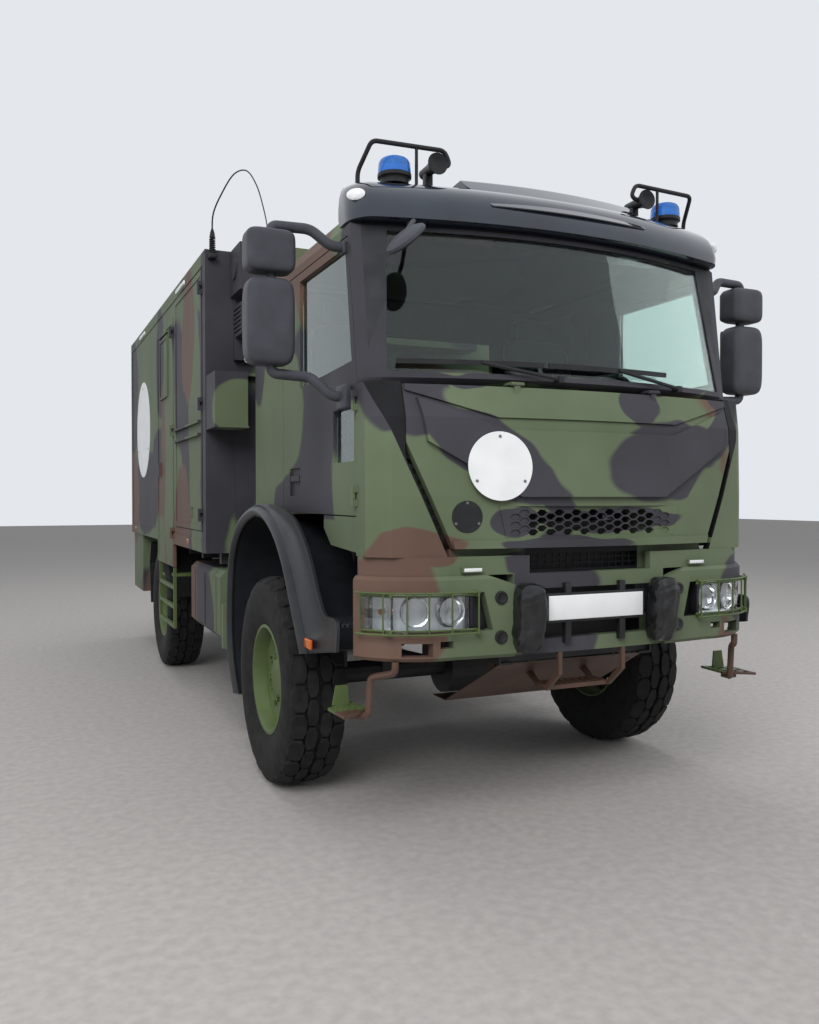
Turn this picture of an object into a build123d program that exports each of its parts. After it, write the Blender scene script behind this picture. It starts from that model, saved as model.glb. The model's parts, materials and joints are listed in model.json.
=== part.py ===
from build123d import *
import math
import os

# A four-wheel-drive military ambulance truck: a flat-nosed cab, a hard-walled box body and single wheels.
# Lengths are in millimetres. X is the truck's left, Y runs from nose to tail with 0 at the front axle,
# and Z is height above the ground. Each piece is moved by -origin_y when it is written, so that the
# finished part has its origin on the ground, under the middle of its length.

# Fits
fit = 0.3            # between fixed pieces that lie against each other
door_gap = 6         # between a door and its frame
pin_play = 0.3       # between a pin and its bore

# Wheels
wheelbase = 3690
wheel_x = 1055               # middle of a tyre from the centre line
tyre_radius = 560
tyre_width = 320
tread_width = 290
tread_depth = 18
tread_pitches = 24
lug_length = 72
lug_inner_x = 18
rim_radius = 284
rim_flange_radius = 298
rim_half_width = 132
rim_disc_x = 40              # outer face of the disc from the middle of the rim
rim_disc_thickness = 14
hand_holes = 10
hand_hole_radius = 24
hand_hole_circle = 205
hub_radius = 108
hub_length = 78
spindle_radius = 60

# Frame and axles
rail_outer_x = 430
rail_width = 75
rail_bottom = 790
rail_height = 220
rail_wall = 10
frame_front_y = -1230
frame_rear_y = 5480
subframe_height = 80
subframe_front_y = 1370
axle_radius = 62
diff_radius = 165
diff_width = 250
kingpin_x = 860
kingpin_radius = 22
knuckle_half_height = 85
yoke_thickness = 32
steer_arm_length = 260
tie_rod_drop = 60
tie_rod_radius = 17
spring_x = 480
spring_width = 80
spring_thickness = 70
spring_half_length = 640
spring_rise = 90

# Box body
box_half_width = 1250
box_front_y = 1330
box_rear_y = 5530
box_bottom = 1170
box_top = 3235
box_wall = 50
box_floor = 60
edge_band = 90               # width of the raised edge profile
panel_recess = 6
side_door_front_y = 2700
side_door_rear_y = 3570
side_door_bottom = 980
skirt_thickness = 25         # of the door's part below the box floor, outside the tyre
side_door_top = 3020
locker_front_y = 1470
locker_rear_y = 2590
locker_bottom = 1320
locker_top = 3130
locker_depth = 520
rear_door_edge_x = 1160
rear_door_bottom = 1245
rear_door_top = 3125
tail_y = 5645
jaw_pin_y = 5600
jaw_pin_radius = 20

# Cab
cab_half_width = 1050
cab_wall = 45
cab_floor_top = 1530
door_front_y = -1050
door_rear_y = 120
door_bottom = 1472
door_top = 2732
door_slant_z = 2080          # above this the door's front edge leans back
door_top_front_y = -930
screen_half_bottom = 940
screen_half_top = 890
screen_bottom = 2105
screen_top = 2760
glass_thickness = 6
glass_inset = 5
nose_y = -1370               # foremost line of the flap
skin = 35                    # thickness of the flap and the cheek panels
flap_half_width = 900
flap_bottom_half_width = 700
flap_shoulder_z = 1790
flap_bottom = 1330
flap_top = 2045
flap_hinge_y = -1302
slot_width = 42
slat_pitch = 44
shield_bottom = 1556
shield_rise = 24             # of the shield above the flap's skin
brow_rise = 12

# Honeycomb grille
comb_half_top = 495
comb_half_bottom = 462
comb_bottom = 1378
comb_top = 1515
comb_depth = 14
comb_recess = 24             # from the flap's foremost line to the face of the grille
comb_open_half = 350         # cells further out than this are blind
comb_open_top = 1508         # and so are cells that reach above this
blind_depth = 7
cell_width = 56              # from tip to tip
cell_height = 28
cell_column = 46             # between the middles of two columns
cell_wall = 7

# Lower grille
mesh_half_width = 315
mesh_bottom = 1222
mesh_top = 1298
mesh_columns = 16
mesh_rows = 3
mesh_wire = 2.5              # half the thickness of one bar
mesh_front_y = -1262
mesh_frame_depth = 22

# Bumper
bumper_half_width = 1090
bumper_front_y = -1370
bumper_side_y = -1112        # rear end of the rounded corners
bumper_bottom = 850
bumper_top = 1214
bumper_wall = 48
wing_inner_x = 415           # the wings end here, behind the hook covers
wing_dip_z = 1168            # top of a wing at its inner end
wing_holes = [               # x0, x1, z0, z1
    (807, 934, 873, 930), (714, 775, 905, 936),
]
lamp_inner_x = 528
window_slant = 42            # how far the window's inner end leans outwards at its top
lamp_unit_inner_x = 631
lamp_outer_x = 1165
window_rear_y = -1140        # behind this the window's outer end is closed by a post
lamp_bottom = 975
lamp_top = 1143
lamp_radius = 58
guard_wire = 5
hook_cover_x = 369
hook_cover_width = 135
hook_cover_bottom = 873
hook_cover_top = 1176
hook_cover_nose_y = -1445

# Fenders
fender_outer_x = 1200
fender_inner_x = 800
fender_thickness = 16
flank_inner_x = 1102

origin_y = (hook_cover_nose_y + tail_y) / 2


def block(x0, x1, y0, y1, z0, z1):
    """A box given by its low and high corners."""
    centre = Pos((x0 + x1) / 2, (y0 + y1) / 2, (z0 + z1) / 2)
    return centre * Box(x1 - x0, y1 - y0, z1 - z0)


def side_plate(points, x0, x1):
    """A plate cut to a side view outline of (y, z) points, from x0 to x1."""
    face = make_face(Polyline(*points, close=True))
    return extrude(Plane.YZ.offset(x0) * face, x1 - x0)


def front_plate(points, y0, y1):
    """A plate cut to a front view outline of (x, z) points, from y0 to y1."""
    face = make_face(Polyline(*points, close=True))
    plane = Plane(origin=(0, y1, 0), x_dir=(1, 0, 0), z_dir=(0, -1, 0))
    return extrude(plane * face, y1 - y0)


def both_sides(shape):
    """The shape and its mirror image across the centre line."""
    return shape + mirror(shape, Plane.YZ)


def tube(points, radius, bend):
    """A bar bent along a line of points, with three short chords round each corner."""
    places = [Vector(*point) for point in points]
    line = places[:1]
    for before, corner, after in zip(places, places[1:], places[2:]):
        back = (before - corner).normalized() * bend
        on = (after - corner).normalized() * bend
        line += [corner + back * (1 - t) ** 2 + on * t ** 2 for t in (0, 1 / 3, 2 / 3, 1)]
    path = Polyline(*line, places[-1])
    section = (path ^ 0) * RegularPolygon(radius, sides_for(radius))
    return sweep(section, path=path, transition=Transition.RIGHT)


def sides_for(radius):
    """How many flat sides stand for a round of this radius."""
    return 6 if radius < 12 else 8 if radius < 30 else 12 if radius < 80 else 20


def rod(start, end, radius):
    """A straight bar with flat sides whose corners lie on the radius."""
    axis = Vector(*end) - Vector(*start)
    return extrude(Plane(origin=start, z_dir=axis) * RegularPolygon(radius, sides_for(radius)), axis.length)


def bore(start, end, radius):
    """The hole for a round of this radius: its flats touch the radius and face the corners of the round."""
    axis = Vector(*end) - Vector(*start)
    sides = sides_for(radius)
    section = RegularPolygon(radius, sides, major_radius=False, rotation=180 / sides)
    return extrude(Plane(origin=start, z_dir=axis) * section, axis.length)


def faceted_ring(section, sides):
    """A ring about the X axis, flat on every side, from a closed section of (x, radius of the flats) points."""
    reach = 1 / math.cos(math.pi / sides)
    rows = []
    for i in range(sides):
        angle = 2 * math.pi / sides * (i + 0.5)
        rows.append([Vector(x, r * reach * math.sin(angle), r * reach * math.cos(angle)) for x, r in section])
    faces = []
    for i, row in enumerate(rows):
        last = rows[i - 1]
        for j, (x, r) in enumerate(section):
            corners = [last[j - 1], last[j]]
            corners += [row[j]] if r else []
            corners += [row[j - 1]] if section[j - 1][1] else []
            if len(corners) > 2:
                faces.append(Face(Wire.make_polygon(corners)))
    ring = Solid(Shell(faces))
    return ring if ring.volume > 0 else Solid(Shell([-face for face in faces]))


def save(name, shape):
    """Write one piece, moved to the part's own origin."""
    export_step(Pos(0, -origin_y, 0) * shape, f"parts/{name}.step")


def across(piece, x, y, z):
    """A wheel piece made at the origin with its outer side to +X, set on one of the four corners."""
    if x < 0:
        piece = mirror(piece, Plane.YZ)
    return Pos(x, y, z) * piece


# Wheels

def tyre():
    """A tyre: a ring with one flat for each tread pitch, and staggered rows of shoulder lugs."""
    tread_r = tyre_radius - tread_depth
    half_section = [                    # distance from the middle, distance of the flats from the axle
        (rim_half_width - 6, rim_radius + fit),
        (rim_half_width - 6, rim_flange_radius + 4),
        (tyre_width / 2, 430),
        (tread_width / 2, tread_r),
    ]
    section = half_section + [(-x, r) for x, r in reversed(half_section)]
    body = faceted_ring(section, tread_pitches)
    lug_outer_x = tread_width / 2 - 4
    lug_root = tread_r - 12
    lug = block(lug_inner_x, lug_outer_x, -lug_length / 2, lug_length / 2, lug_root, tyre_radius)
    turn = 180 / tread_pitches
    lugs = []
    for i in range(tread_pitches):
        angle = 360 / tread_pitches * i
        lugs.append(Rot(angle, 0, 0) * lug)
        lugs.append(Rot(angle + turn, 0, 0) * mirror(lug, Plane.YZ))
    return body + lugs


def rim():
    """A steel disc wheel with hand holes and its hub, turning on the spindle."""
    disc_in = rim_disc_x - rim_disc_thickness
    section = [                         # distance along the axle, distance of the flats from the axle
        (rim_half_width, rim_radius),
        (rim_half_width, rim_flange_radius),
        (rim_half_width - 6, rim_flange_radius),
        (rim_half_width - 6, rim_radius),
        (-rim_half_width, rim_radius),
        (-rim_half_width, rim_radius - 12),
        (disc_in - 24, rim_radius - 16),
        (disc_in, hand_hole_circle + 40),
        (disc_in - 4, spindle_radius + pin_play),
        (spindle_end + 1, spindle_radius + pin_play),
        (spindle_end + 1, 0),
        (hub_length, 0),
        (hub_length, hub_radius - 14),
        (rim_disc_x, hub_radius),
        (rim_disc_x + 12, hand_hole_circle + 40),
    ]
    wheel = faceted_ring(section, tread_pitches)
    hole = Plane.YZ * RegularPolygon(hand_hole_radius, 6)
    holes = [Rot(360 / hand_holes * i, 0, 0) * Pos(0, 0, hand_hole_circle) * extrude(hole, rim_half_width)
             for i in range(hand_holes)]
    return wheel - holes


spindle_end = hub_length - 40           # the spindle's end from the middle of the rim
wheel_places = [                        # name, x, y
    ("front_left", wheel_x, 0),
    ("front_right", -wheel_x, 0),
    ("rear_left", wheel_x, wheelbase),
    ("rear_right", -wheel_x, wheelbase),
]
one_tyre = tyre()
one_rim = rim()


# Frame, axles and steering

def chassis_frame():
    """Two channel rails, cross members, a subframe with beams under the box, cab posts and a towing jaw."""
    top = rail_bottom + rail_height
    inner_x = rail_outer_x - rail_width
    rail = block(inner_x, rail_outer_x, frame_front_y, frame_rear_y, rail_bottom, top)
    rail -= block(inner_x, rail_outer_x - rail_wall, frame_front_y, frame_rear_y,
                  rail_bottom + rail_wall, top - rail_wall)
    sub_top = top + subframe_height
    rail += block(inner_x, rail_outer_x, subframe_front_y, frame_rear_y, top, sub_top)
    frame = both_sides(rail)
    for y in cross_member_ys:
        frame += block(-rail_outer_x + rail_wall, rail_outer_x - rail_wall, y - 30, y + 30,
                       rail_bottom + rail_wall, rail_bottom + 70)
    for y, half_length in box_beams:
        frame += block(-half_length, half_length, y - 30, y + 30, sub_top, box_bottom)
    cab_post = block(inner_x, rail_outer_x, -1105, -1035, top, cab_front_floor)
    cab_post += block(inner_x, rail_outer_x, 640, 720, top, cab_rear_floor)
    frame += both_sides(cab_post)
    frame += block(-560, 560, 640, 720, cab_rear_floor - 60, cab_rear_floor)
    for y in spring_hanger_ys:
        hanger = block(rail_outer_x, spring_x + spring_width / 2 + 5, y - 35, y + 35, 700, rail_bottom + 120)
        frame += both_sides(hanger)
    rear_beam = block(-1100, 1100, frame_rear_y, frame_rear_y + 60, 640, 760)
    rear_beam += both_sides(block(inner_x, rail_outer_x, frame_rear_y, frame_rear_y + 50, 640, top))
    rear_beam += block(-rail_outer_x, rail_outer_x, frame_rear_y, frame_rear_y + 50, rail_bottom, rail_bottom + 160)
    jaw = block(-70, 70, frame_rear_y + 40, tail_y, rail_bottom + 20, rail_bottom + 140)
    jaw -= block(-45, 45, frame_rear_y + 60, tail_y, rail_bottom + 60, rail_bottom + 100)
    jaw -= Pos(0, jaw_pin_y, rail_bottom + 80) * Cylinder(jaw_pin_radius, 160)
    return frame + rear_beam + jaw


cab_front_floor = 1480 - fit
cab_rear_floor = 1480 - fit
cross_member_ys = [-1180, -560, 60, 720, 1380, 2030, 2680, 3330, 3980, 4640, 5260]
box_beams = [                # y, half length: the last ones stop short of the rear lockers
    (1430, 1130), (2080, 1130), (2640, 1130), (3080, 1130), (4300, 1130), (4800, 840), (5400, 840),
]
spring_hanger_ys = [-spring_half_length, spring_half_length,
                    wheelbase - spring_half_length, wheelbase + spring_half_length]


def leaf_springs(y):
    """A pair of curved leaf packs that lie on an axle at y and hang from the rails."""
    seat = tyre_radius + axle_radius
    low, high = seat, seat + spring_thickness
    ends = spring_half_length - 35 - fit
    outline = [
        (y - ends, low + spring_rise),
        (y - 100, low),
        (y + 100, low),
        (y + ends, low + spring_rise),
        (y + ends, low + spring_rise + 16),
        (y + 110, high),
        (y - 110, high),
        (y - ends, low + spring_rise + 16),
    ]
    return both_sides(side_plate(outline, spring_x - spring_width / 2, spring_x + spring_width / 2))


def axle_beam(y, half_length, turn_in):
    """An axle tube with its differential housing, spring pads and springs."""
    beam = rod((-half_length, y, tyre_radius), (half_length, y, tyre_radius), axle_radius)
    housing = rod((-diff_width / 2, y, tyre_radius), (diff_width / 2, y, tyre_radius), diff_radius)
    nose = rod((0, y, tyre_radius), (0, y + turn_in * (diff_radius + 60), tyre_radius + 30), 70)
    pad = block(spring_x - 45, spring_x + 45, y - 70, y + 70, tyre_radius - 40, tyre_radius + axle_radius)
    return beam + housing + nose + both_sides(pad) + leaf_springs(y)


def front_axle():
    """The steered axle, with a yoke and kingpin at each end."""
    beam = axle_beam(0, kingpin_x - 95, 1)
    top = tyre_radius + knuckle_half_height + 5
    bottom = tyre_radius - knuckle_half_height - 5
    yoke = block(kingpin_x - 110, kingpin_x + 25, -30, 30, top, top + yoke_thickness)
    yoke += block(kingpin_x - 110, kingpin_x + 25, -30, 30, bottom - yoke_thickness, bottom)
    yoke += block(kingpin_x - 130, kingpin_x - 90, -45, 45, bottom - yoke_thickness, top + yoke_thickness)
    yoke += rod((kingpin_x, 0, bottom), (kingpin_x, 0, top), kingpin_radius)
    return beam + both_sides(yoke)


def knuckle():
    """The left steering knuckle: block on the kingpin, brake backplate, spindle and steering arm."""
    body = block(kingpin_x - 42, kingpin_x + 60, -50, 50,
                 tyre_radius - knuckle_half_height, tyre_radius + knuckle_half_height)
    plate_x = kingpin_x + 60
    body += rod((plate_x, 0, tyre_radius), (plate_x + 70, 0, tyre_radius), 200)
    body += rod((plate_x, 0, tyre_radius), (wheel_x + spindle_end, 0, tyre_radius), spindle_radius)
    arm_z = tyre_radius - tie_rod_drop
    arm = block(kingpin_x - 25, kingpin_x + 25, 40, steer_arm_length + 26, arm_z - 12, arm_z + 12)
    pin_bore = bore((kingpin_x, 0, tyre_radius - 200), (kingpin_x, 0, tyre_radius + 200), kingpin_radius + pin_play)
    ball_bore = bore((kingpin_x, steer_arm_length, arm_z - 30), (kingpin_x, steer_arm_length, arm_z + 30),
                     11 + pin_play)
    return body + arm - pin_bore - ball_bore


def tie_rod():
    """The bar that joins both steering arms from below, with a pin up through each arm."""
    arm_z = tyre_radius - tie_rod_drop
    bar_z = arm_z - 12 - 1 - tie_rod_radius
    bar = rod((-kingpin_x, steer_arm_length, bar_z), (kingpin_x, steer_arm_length, bar_z), tie_rod_radius)
    end = rod((kingpin_x, steer_arm_length, bar_z - tie_rod_radius - 4),
              (kingpin_x, steer_arm_length, bar_z + tie_rod_radius), 26)
    pin = rod((kingpin_x, steer_arm_length, bar_z), (kingpin_x, steer_arm_length, arm_z + 18), 11)
    return bar + both_sides(end + pin)


def powertrain():
    """The engine as one plain block, its gearbox, the transfer box and the shafts."""
    engine = block(-300, 300, -1010, -150, 875, 1500)
    gearbox = block(-210, 210, -150, 560, 880, 1240)
    transfer = block(-180, 180, 860, 1260, 660, 985)
    link = rod((0, 560, 930), (0, 860, 900), 45)
    rail_inner_x = rail_outer_x - rail_width
    rail_top = rail_bottom + rail_height
    engine += block(-rail_outer_x, rail_outer_x, -700, -620, rail_top + fit, rail_top + 30)
    gearbox += block(-120, 120, 35, 85, rail_bottom + 70 + fit, 880)
    transfer += block(-rail_inner_x + fit, rail_inner_x - fit, 1020, 1080, rail_bottom, rail_bottom + 30)
    front_shaft = rod((0, 860, 730), (0, 250, 610), 38)
    rear_shaft = rod((0, 1260, 730), (0, wheelbase - 240, 600), 42)
    return engine + gearbox + transfer + link + front_shaft + rear_shaft


def radiator():
    """The radiator and its cowl ahead of the engine."""
    core = block(-345, 345, -1140, -1060, 875, 1440)
    core += block(-260, 260, -1060, -1010 - fit, 900, 1400)
    rail_inner_x = rail_outer_x - rail_width
    core += block(-rail_inner_x + fit, rail_inner_x - fit, -1140, -1060, 980, rail_bottom + rail_height)
    return core


# Front end

def bumper_corner(inset):
    """The start, middle and end of the outline's rounded left corner, seen from above."""
    return [
        (700 - 0.1 * inset, bumper_front_y + 38 + inset),
        (960 - 0.6 * inset, bumper_front_y + 108 + 0.8 * inset),
        (bumper_half_width - inset, bumper_side_y),
    ]


def bumper_plan(inset):
    """The bumper's outline from above: a flat arc across the front and rounded corners."""
    left = bumper_corner(inset)
    right = [(-x, y) for x, y in left]
    x = bumper_half_width - inset
    back_y = bumper_side_y + 4 + inset / 2
    middle = ThreePointArc(right[0], (0, bumper_front_y + inset), left[0])
    sides = Polyline(left[2], (x, back_y), (-x, back_y), right[2])
    return make_face(middle + ThreePointArc(*left) + ThreePointArc(*right) + sides)


def bumper_ring(outer_inset, inner_inset, z0, z1, bevel=0):
    """A band that follows the bumper's outline, between two insets and two heights, with bevelled edges."""
    inner = extrude(Pos(0, 0, z0) * bumper_plan(inner_inset), z1 - z0)
    if not bevel:
        return extrude(Pos(0, 0, z0) * bumper_plan(outer_inset), z1 - z0) - inner
    levels = [(z0, bevel), (z0 + bevel, 0), (z1 - bevel, 0), (z1, bevel)]
    return loft([Pos(0, 0, z) * bumper_plan(outer_inset + more) for z, more in levels], ruled=True) - inner


def lamp_window(grow):
    """The hole for one headlamp unit in the front view, grown on each side by a clearance."""
    return front_plate([
        (lamp_inner_x - grow, lamp_bottom - grow),
        (lamp_outer_x + grow, lamp_bottom - grow),
        (lamp_outer_x + grow, lamp_top + grow),
        (lamp_inner_x + window_slant - grow, lamp_top + grow),
    ], bumper_front_y - 50, window_rear_y + grow)


def front_bumper():
    """The steel bumper: two wings with lamp windows, joined by a lower and an upper beam set back."""
    band = bumper_ring(0, bumper_wall, bumper_bottom, bumper_top, 16)
    band -= both_sides(lamp_window(0))
    dip = [(300, bumper_top + 5), (560, bumper_top + 5), (wing_inner_x, wing_dip_z), (300, wing_dip_z)]
    band -= both_sides(front_plate(dip, bumper_front_y - 50, -1200))
    band -= block(-wing_inner_x, wing_inner_x, bumper_front_y - 50, -1200, bumper_bottom, bumper_top)
    for x0, x1, z0, z1 in wing_holes:
        band -= both_sides(block(x0, x1, bumper_front_y - 50, -1200, z0, z1))
    between = block(-wing_inner_x - 2, wing_inner_x + 2, bumper_front_y, -1200, bumper_bottom, bumper_top)
    beams = bumper_ring(26, 80, bumper_bottom + 3, 918) + bumper_ring(26, 80, 1146, bumper_top)
    bracket = block(rail_outer_x - rail_width, rail_outer_x, bumper_front_y + bumper_wall - 30,
                    frame_front_y - fit, 880, 990)
    filler = bumper_ring(26, 66, bumper_top, cab_filler_top)
    filler -= block(-mesh_half_width - 20, mesh_half_width + 20, bumper_front_y, -1200, bumper_top, cab_filler_top)
    lights = both_sides(block(570, 670, bumper_front_y + 34, bumper_front_y + 80, 1228, 1250))
    return band + (beams & between) + both_sides(bracket) + filler + lights


cab_filler_top = 1296


def headlamps():
    """Twin round lamps and a corner lamp in each bumper window."""
    unit = bumper_ring(8, bumper_wall - 6, lamp_bottom + fit, lamp_top - fit)
    unit &= lamp_window(-fit)
    unit -= block(lamp_inner_x - 5, lamp_unit_inner_x, bumper_front_y - 50, bumper_front_y + 32, lamp_bottom, lamp_top)
    for x, y in lamp_places:
        unit -= rod((x, y - 60, lamp_z), (x, y + 10, lamp_z), lamp_radius)
        unit += rod((x, y, lamp_z), (x, y + 12, lamp_z), lamp_radius)
    return both_sides(unit)


lamp_places = [              # x, y of the lamp's face
    (711, -1300), (869, -1270),
]
lamp_z = (lamp_bottom + lamp_top) / 2


def guard_line(inset, z, turn_back):
    """The points of a wire that follows the bumper's outline past one headlamp and returns to the bumper."""
    corner = ThreePointArc(*bumper_corner(inset))
    inner_y = bumper_front_y + 26 + inset
    line = [(guard_inner_x, inner_y + turn_back), (guard_inner_x + 12, inner_y + 2)]
    line += [((corner @ t).X, (corner @ t).Y) for t in (0, 0.2, 0.4, 0.6, 0.8, 0.9)]
    return [(x, y, z) for x, y in line]


def lamp_guards():
    """Green wire cages that stand off the headlamps: a frame above and below, joined by uprights."""
    guard = None
    for z in (lamp_bottom - 4, lamp_top + 4):
        for inset, lift in ((-34, 0), (-14, 14 if z < lamp_z else -14)):
            path = Polyline(*guard_line(inset, z + lift, guard_wire))
            wire = sweep((path ^ 0) * RegularPolygon(guard_wire, 6), path=path, transition=Transition.RIGHT)
            guard = wire if guard is None else guard + wire
    for i, share in guard_uprights:
        line = guard_line(-34, 0, 0)
        x, y = (line[i][k] + share * (line[i + 1][k] - line[i][k]) for k in (0, 1))
        guard += block(x - 3, x + 3, y - 3, y + 3, lamp_bottom - 4, lamp_top + 4)
    for x, front_y, lamp_y, rear_y in guard_holders:
        for z0, z1 in ((lamp_bottom - 8, lamp_bottom + 14), (lamp_top - 14, lamp_top + 8)):
            guard += block(x, x + 10, front_y, lamp_y, z0, z1)
        for z0, z1 in ((lamp_bottom - 8, lamp_bottom - 1), (lamp_top + 1, lamp_top + 8)):
            guard += block(x, x + 10, lamp_y, rear_y, z0, z1)
    return both_sides(guard - front_bumper_solid)


guard_inner_x = 600
guard_holders = [            # x, front, where the lamp unit starts, rear end on the bumper
    (610, -1380, -1342, -1330), (984, -1290, -1250, -1226),
]
guard_uprights = [           # piece of the guard's line, share of the way along it
    (1, 0.02), (2, 0.3), (3, 0.3), (4, 0.2), (5, 0.2), (6, 0.5),
]


def hook_covers():
    """Padded vinyl covers over the towing hooks."""
    x0 = hook_cover_x - hook_cover_width / 2
    x1 = hook_cover_x + hook_cover_width / 2
    back = bumper_front_y + bumper_wall / 2
    outline = [
        (back, hook_cover_bottom),
        (hook_cover_nose_y + 18, hook_cover_bottom + 8),
        (hook_cover_nose_y, hook_cover_bottom + 50),
        (hook_cover_nose_y, hook_cover_top - 60),
        (hook_cover_nose_y + 26, hook_cover_top - 10),
        (back, hook_cover_top),
    ]
    bumper_room = extrude(Pos(0, 0, bumper_bottom) * bumper_plan(-fit), bumper_top - bumper_bottom)
    return both_sides(side_plate(outline, x0, x1) - bumper_room)


def skid_plate():
    """The bent plate under the bumper, with the centre step in front of it."""
    sheet = side_plate([(-1180, 786), (-1180, 780), (-700, 520), (-560, 520), (-560, 526), (-698, 526)], -440, 440)
    sheet -= both_sides(front_plate([(400, 812), (460, 812), (460, 520), (440, 520)], -1200, -500))
    hanger = block(rail_outer_x - rail_width, rail_outer_x - 40, -1120, -1060, 742, rail_bottom - fit)
    step = block(-170, 170, -1230, -1110, 655, 675)
    for x in range(-140, 141, 40):
        step -= block(x - 13, x + 13, -1215, -1125, 650, 680)
    hook_y, hook_top = bumper_front_y + 27, bumper_bottom + 3 - fit
    hook = side_plate([(hook_y, hook_top), (hook_y + 20, hook_top), (hook_y + 20, 760), (-1226, 675),
                       (-1226, 655), (-1235, 655), (hook_y, 750)], 165, 185)
    back = side_plate([(-1118, 660), (-1110, 675), (-1040, 722), (-1020, 710)], 140, 170)
    return sheet + both_sides(hanger) + step + both_sides(hook + back)


def entry_steps():
    """A perforated foot plate on a bent tube below each end of the bumper."""
    hoop = tube([(950, -1248, bumper_bottom - fit), (950, -1248, 800), (1026, -1150, 770), (1030, -1136, 602),
                 (1075, -1075, 592)], 16, 24)
    hoop += block(1040, 1105, -1105, -1060, 586, 610)
    corner, across_edge, back_edge = Vector(1017, -1100), Vector(143, -90), Vector(13, 180)
    edge = [corner, corner + across_edge, corner + across_edge + back_edge, corner + back_edge]
    plate = extrude(Pos(0, 0, 610) * make_face(Polyline(*edge, close=True)), 12)
    for u in (0.2, 0.5, 0.8):
        for v in (0.18, 0.5, 0.82):
            hole = corner + across_edge * u + back_edge * v
            plate -= Pos(hole.X, hole.Y, 616) * Box(28, 36, 30)
    tab = front_plate([(1060, 622), (1140, 622), (1124, 710), (1068, 710)], -978, -970)
    return both_sides(hoop + plate + tab)


def front_fenders():
    """Black arch fenders with a lip, a thick front flank and a perforated step in its recess."""
    def arch(grow):
        front = Polyline((-690 - grow, 820), (-360 - grow * 0.7, 1220 + grow * 0.7))
        over = ThreePointArc(front @ 1, (-120, 1382 + grow), (180, 1448 + grow))
        rear = ThreePointArc((180, 1448 + grow), (460, 1427 + grow), (700 + grow * 0.6, 1345 + grow * 0.8))
        down = ThreePointArc(rear @ 1, (862 + grow * 0.9, 1170 + grow * 0.4), (930 + grow, 900))
        tail = Polyline((930 + grow, 900), (830 + grow, 330), (-690 - grow, 330), (-690 - grow, 820))
        return make_face(front + over + rear + down + tail)

    width = fender_outer_x - fender_inner_x
    shell = extrude(Plane.YZ.offset(fender_inner_x) * arch(fender_thickness), width)
    shell -= extrude(Plane.YZ.offset(fender_inner_x) * arch(0), width)
    shell -= block(fender_inner_x, fender_outer_x, -900, 0, 0, 820)
    outline = [(-260, 1440), (-475, 1450), (-714, 1327), (-957, 1182), (-1120, 1105), (-1126, 880), (-1054, 866),
               (-700, 820), (-600, 860), (-360, 1150)]
    flank_face = Plane.YZ.offset(flank_inner_x) * make_face(Polyline(*outline, close=True))
    flank = extrude(flank_face, fender_outer_x - 12 - flank_inner_x, taper=28)
    flank -= extrude(Plane.YZ.offset(fender_inner_x) * arch(fender_thickness / 2), width)
    recess = side_plate([(-770, 1052), (-1180, 1105), (-1180, 985), (-810, 962)], flank_inner_x + 14, fender_outer_x)
    flank -= recess
    shelf = block(900, flank_inner_x + 30, -1095, -860, 985, 1003)
    for y in range(-1070, -879, 45):
        for x in (940, 990, 1040):
            shelf -= block(x - 16, x + 16, y - 14, y + 14, 980, 1010)
    stay = block(rail_outer_x + fit, fender_inner_x + 40, 934, 976, 900, 940)
    return both_sides(shell + flank + shelf + stay)


def rear_fenders():
    """Straight mudguards ahead of and behind the rear wheels, hung from the box beams."""
    guard = side_plate([(wheelbase + 720, 500), (wheelbase + 800, 890), (wheelbase + 700, 1100),
                        (wheelbase + 712, 1110), (wheelbase + 814, 892), (wheelbase + 734, 500)],
                       880, fender_outer_x)
    front = side_plate([(wheelbase - 700, 700), (wheelbase - 760, 900), (wheelbase - 700, 1100),
                        (wheelbase - 712, 1110), (wheelbase - 774, 900), (wheelbase - 714, 700)],
                       880, fender_outer_x)
    stay = block(rail_outer_x + fit, 900, wheelbase + 795, wheelbase + 825, 880, 910)
    front_stay = block(rail_outer_x + fit, 900, wheelbase - 790, wheelbase - 760, 880, 910)
    return both_sides(guard + front + stay + front_stay)


def fuel_tank():
    """The tank on the right side with straps, brackets and its cap."""
    y0, y1 = 1160, 2220
    tank = block(-1190, -640, y0, y1, 590, 1060)
    tank = chamfer(tank.edges().filter_by(Axis.Y), 40)
    for y in (y0 + 150, y0 + 530, y0 + 910):
        tank += block(-1196, -634, y - 25, y + 25, 640, 1010)
        tank += block(-640, -rail_outer_x - fit, y - 25, y + 25, 850, 960)
    tank += rod((-1080, y0 - 40, 980), (-1080, y0, 980), 45)
    step = block(-1195, -900, 1050, y0 - 60, 560, 850)
    step += block(-900, -rail_outer_x - fit, 1070, 1090, 800, 850)
    return tank + step


def battery_box():
    """The battery and air tank frame on the left side."""
    case = block(640, 1190, 1050, 1750, 600, 1050)
    case += block(rail_outer_x + fit, 640, 1120, 1180, 850, 960)
    case += block(rail_outer_x + fit, 640, 1600, 1660, 850, 960)
    for z in (700, 940):
        case += rod((1010, 1750, z), (1010, 2450, z), 105)
    case += block(rail_outer_x + fit, 1010, 2300, 2340, 810, 830)
    return case + block(990, 1030, 2300, 2340, 790, 850)


# Cab

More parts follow.
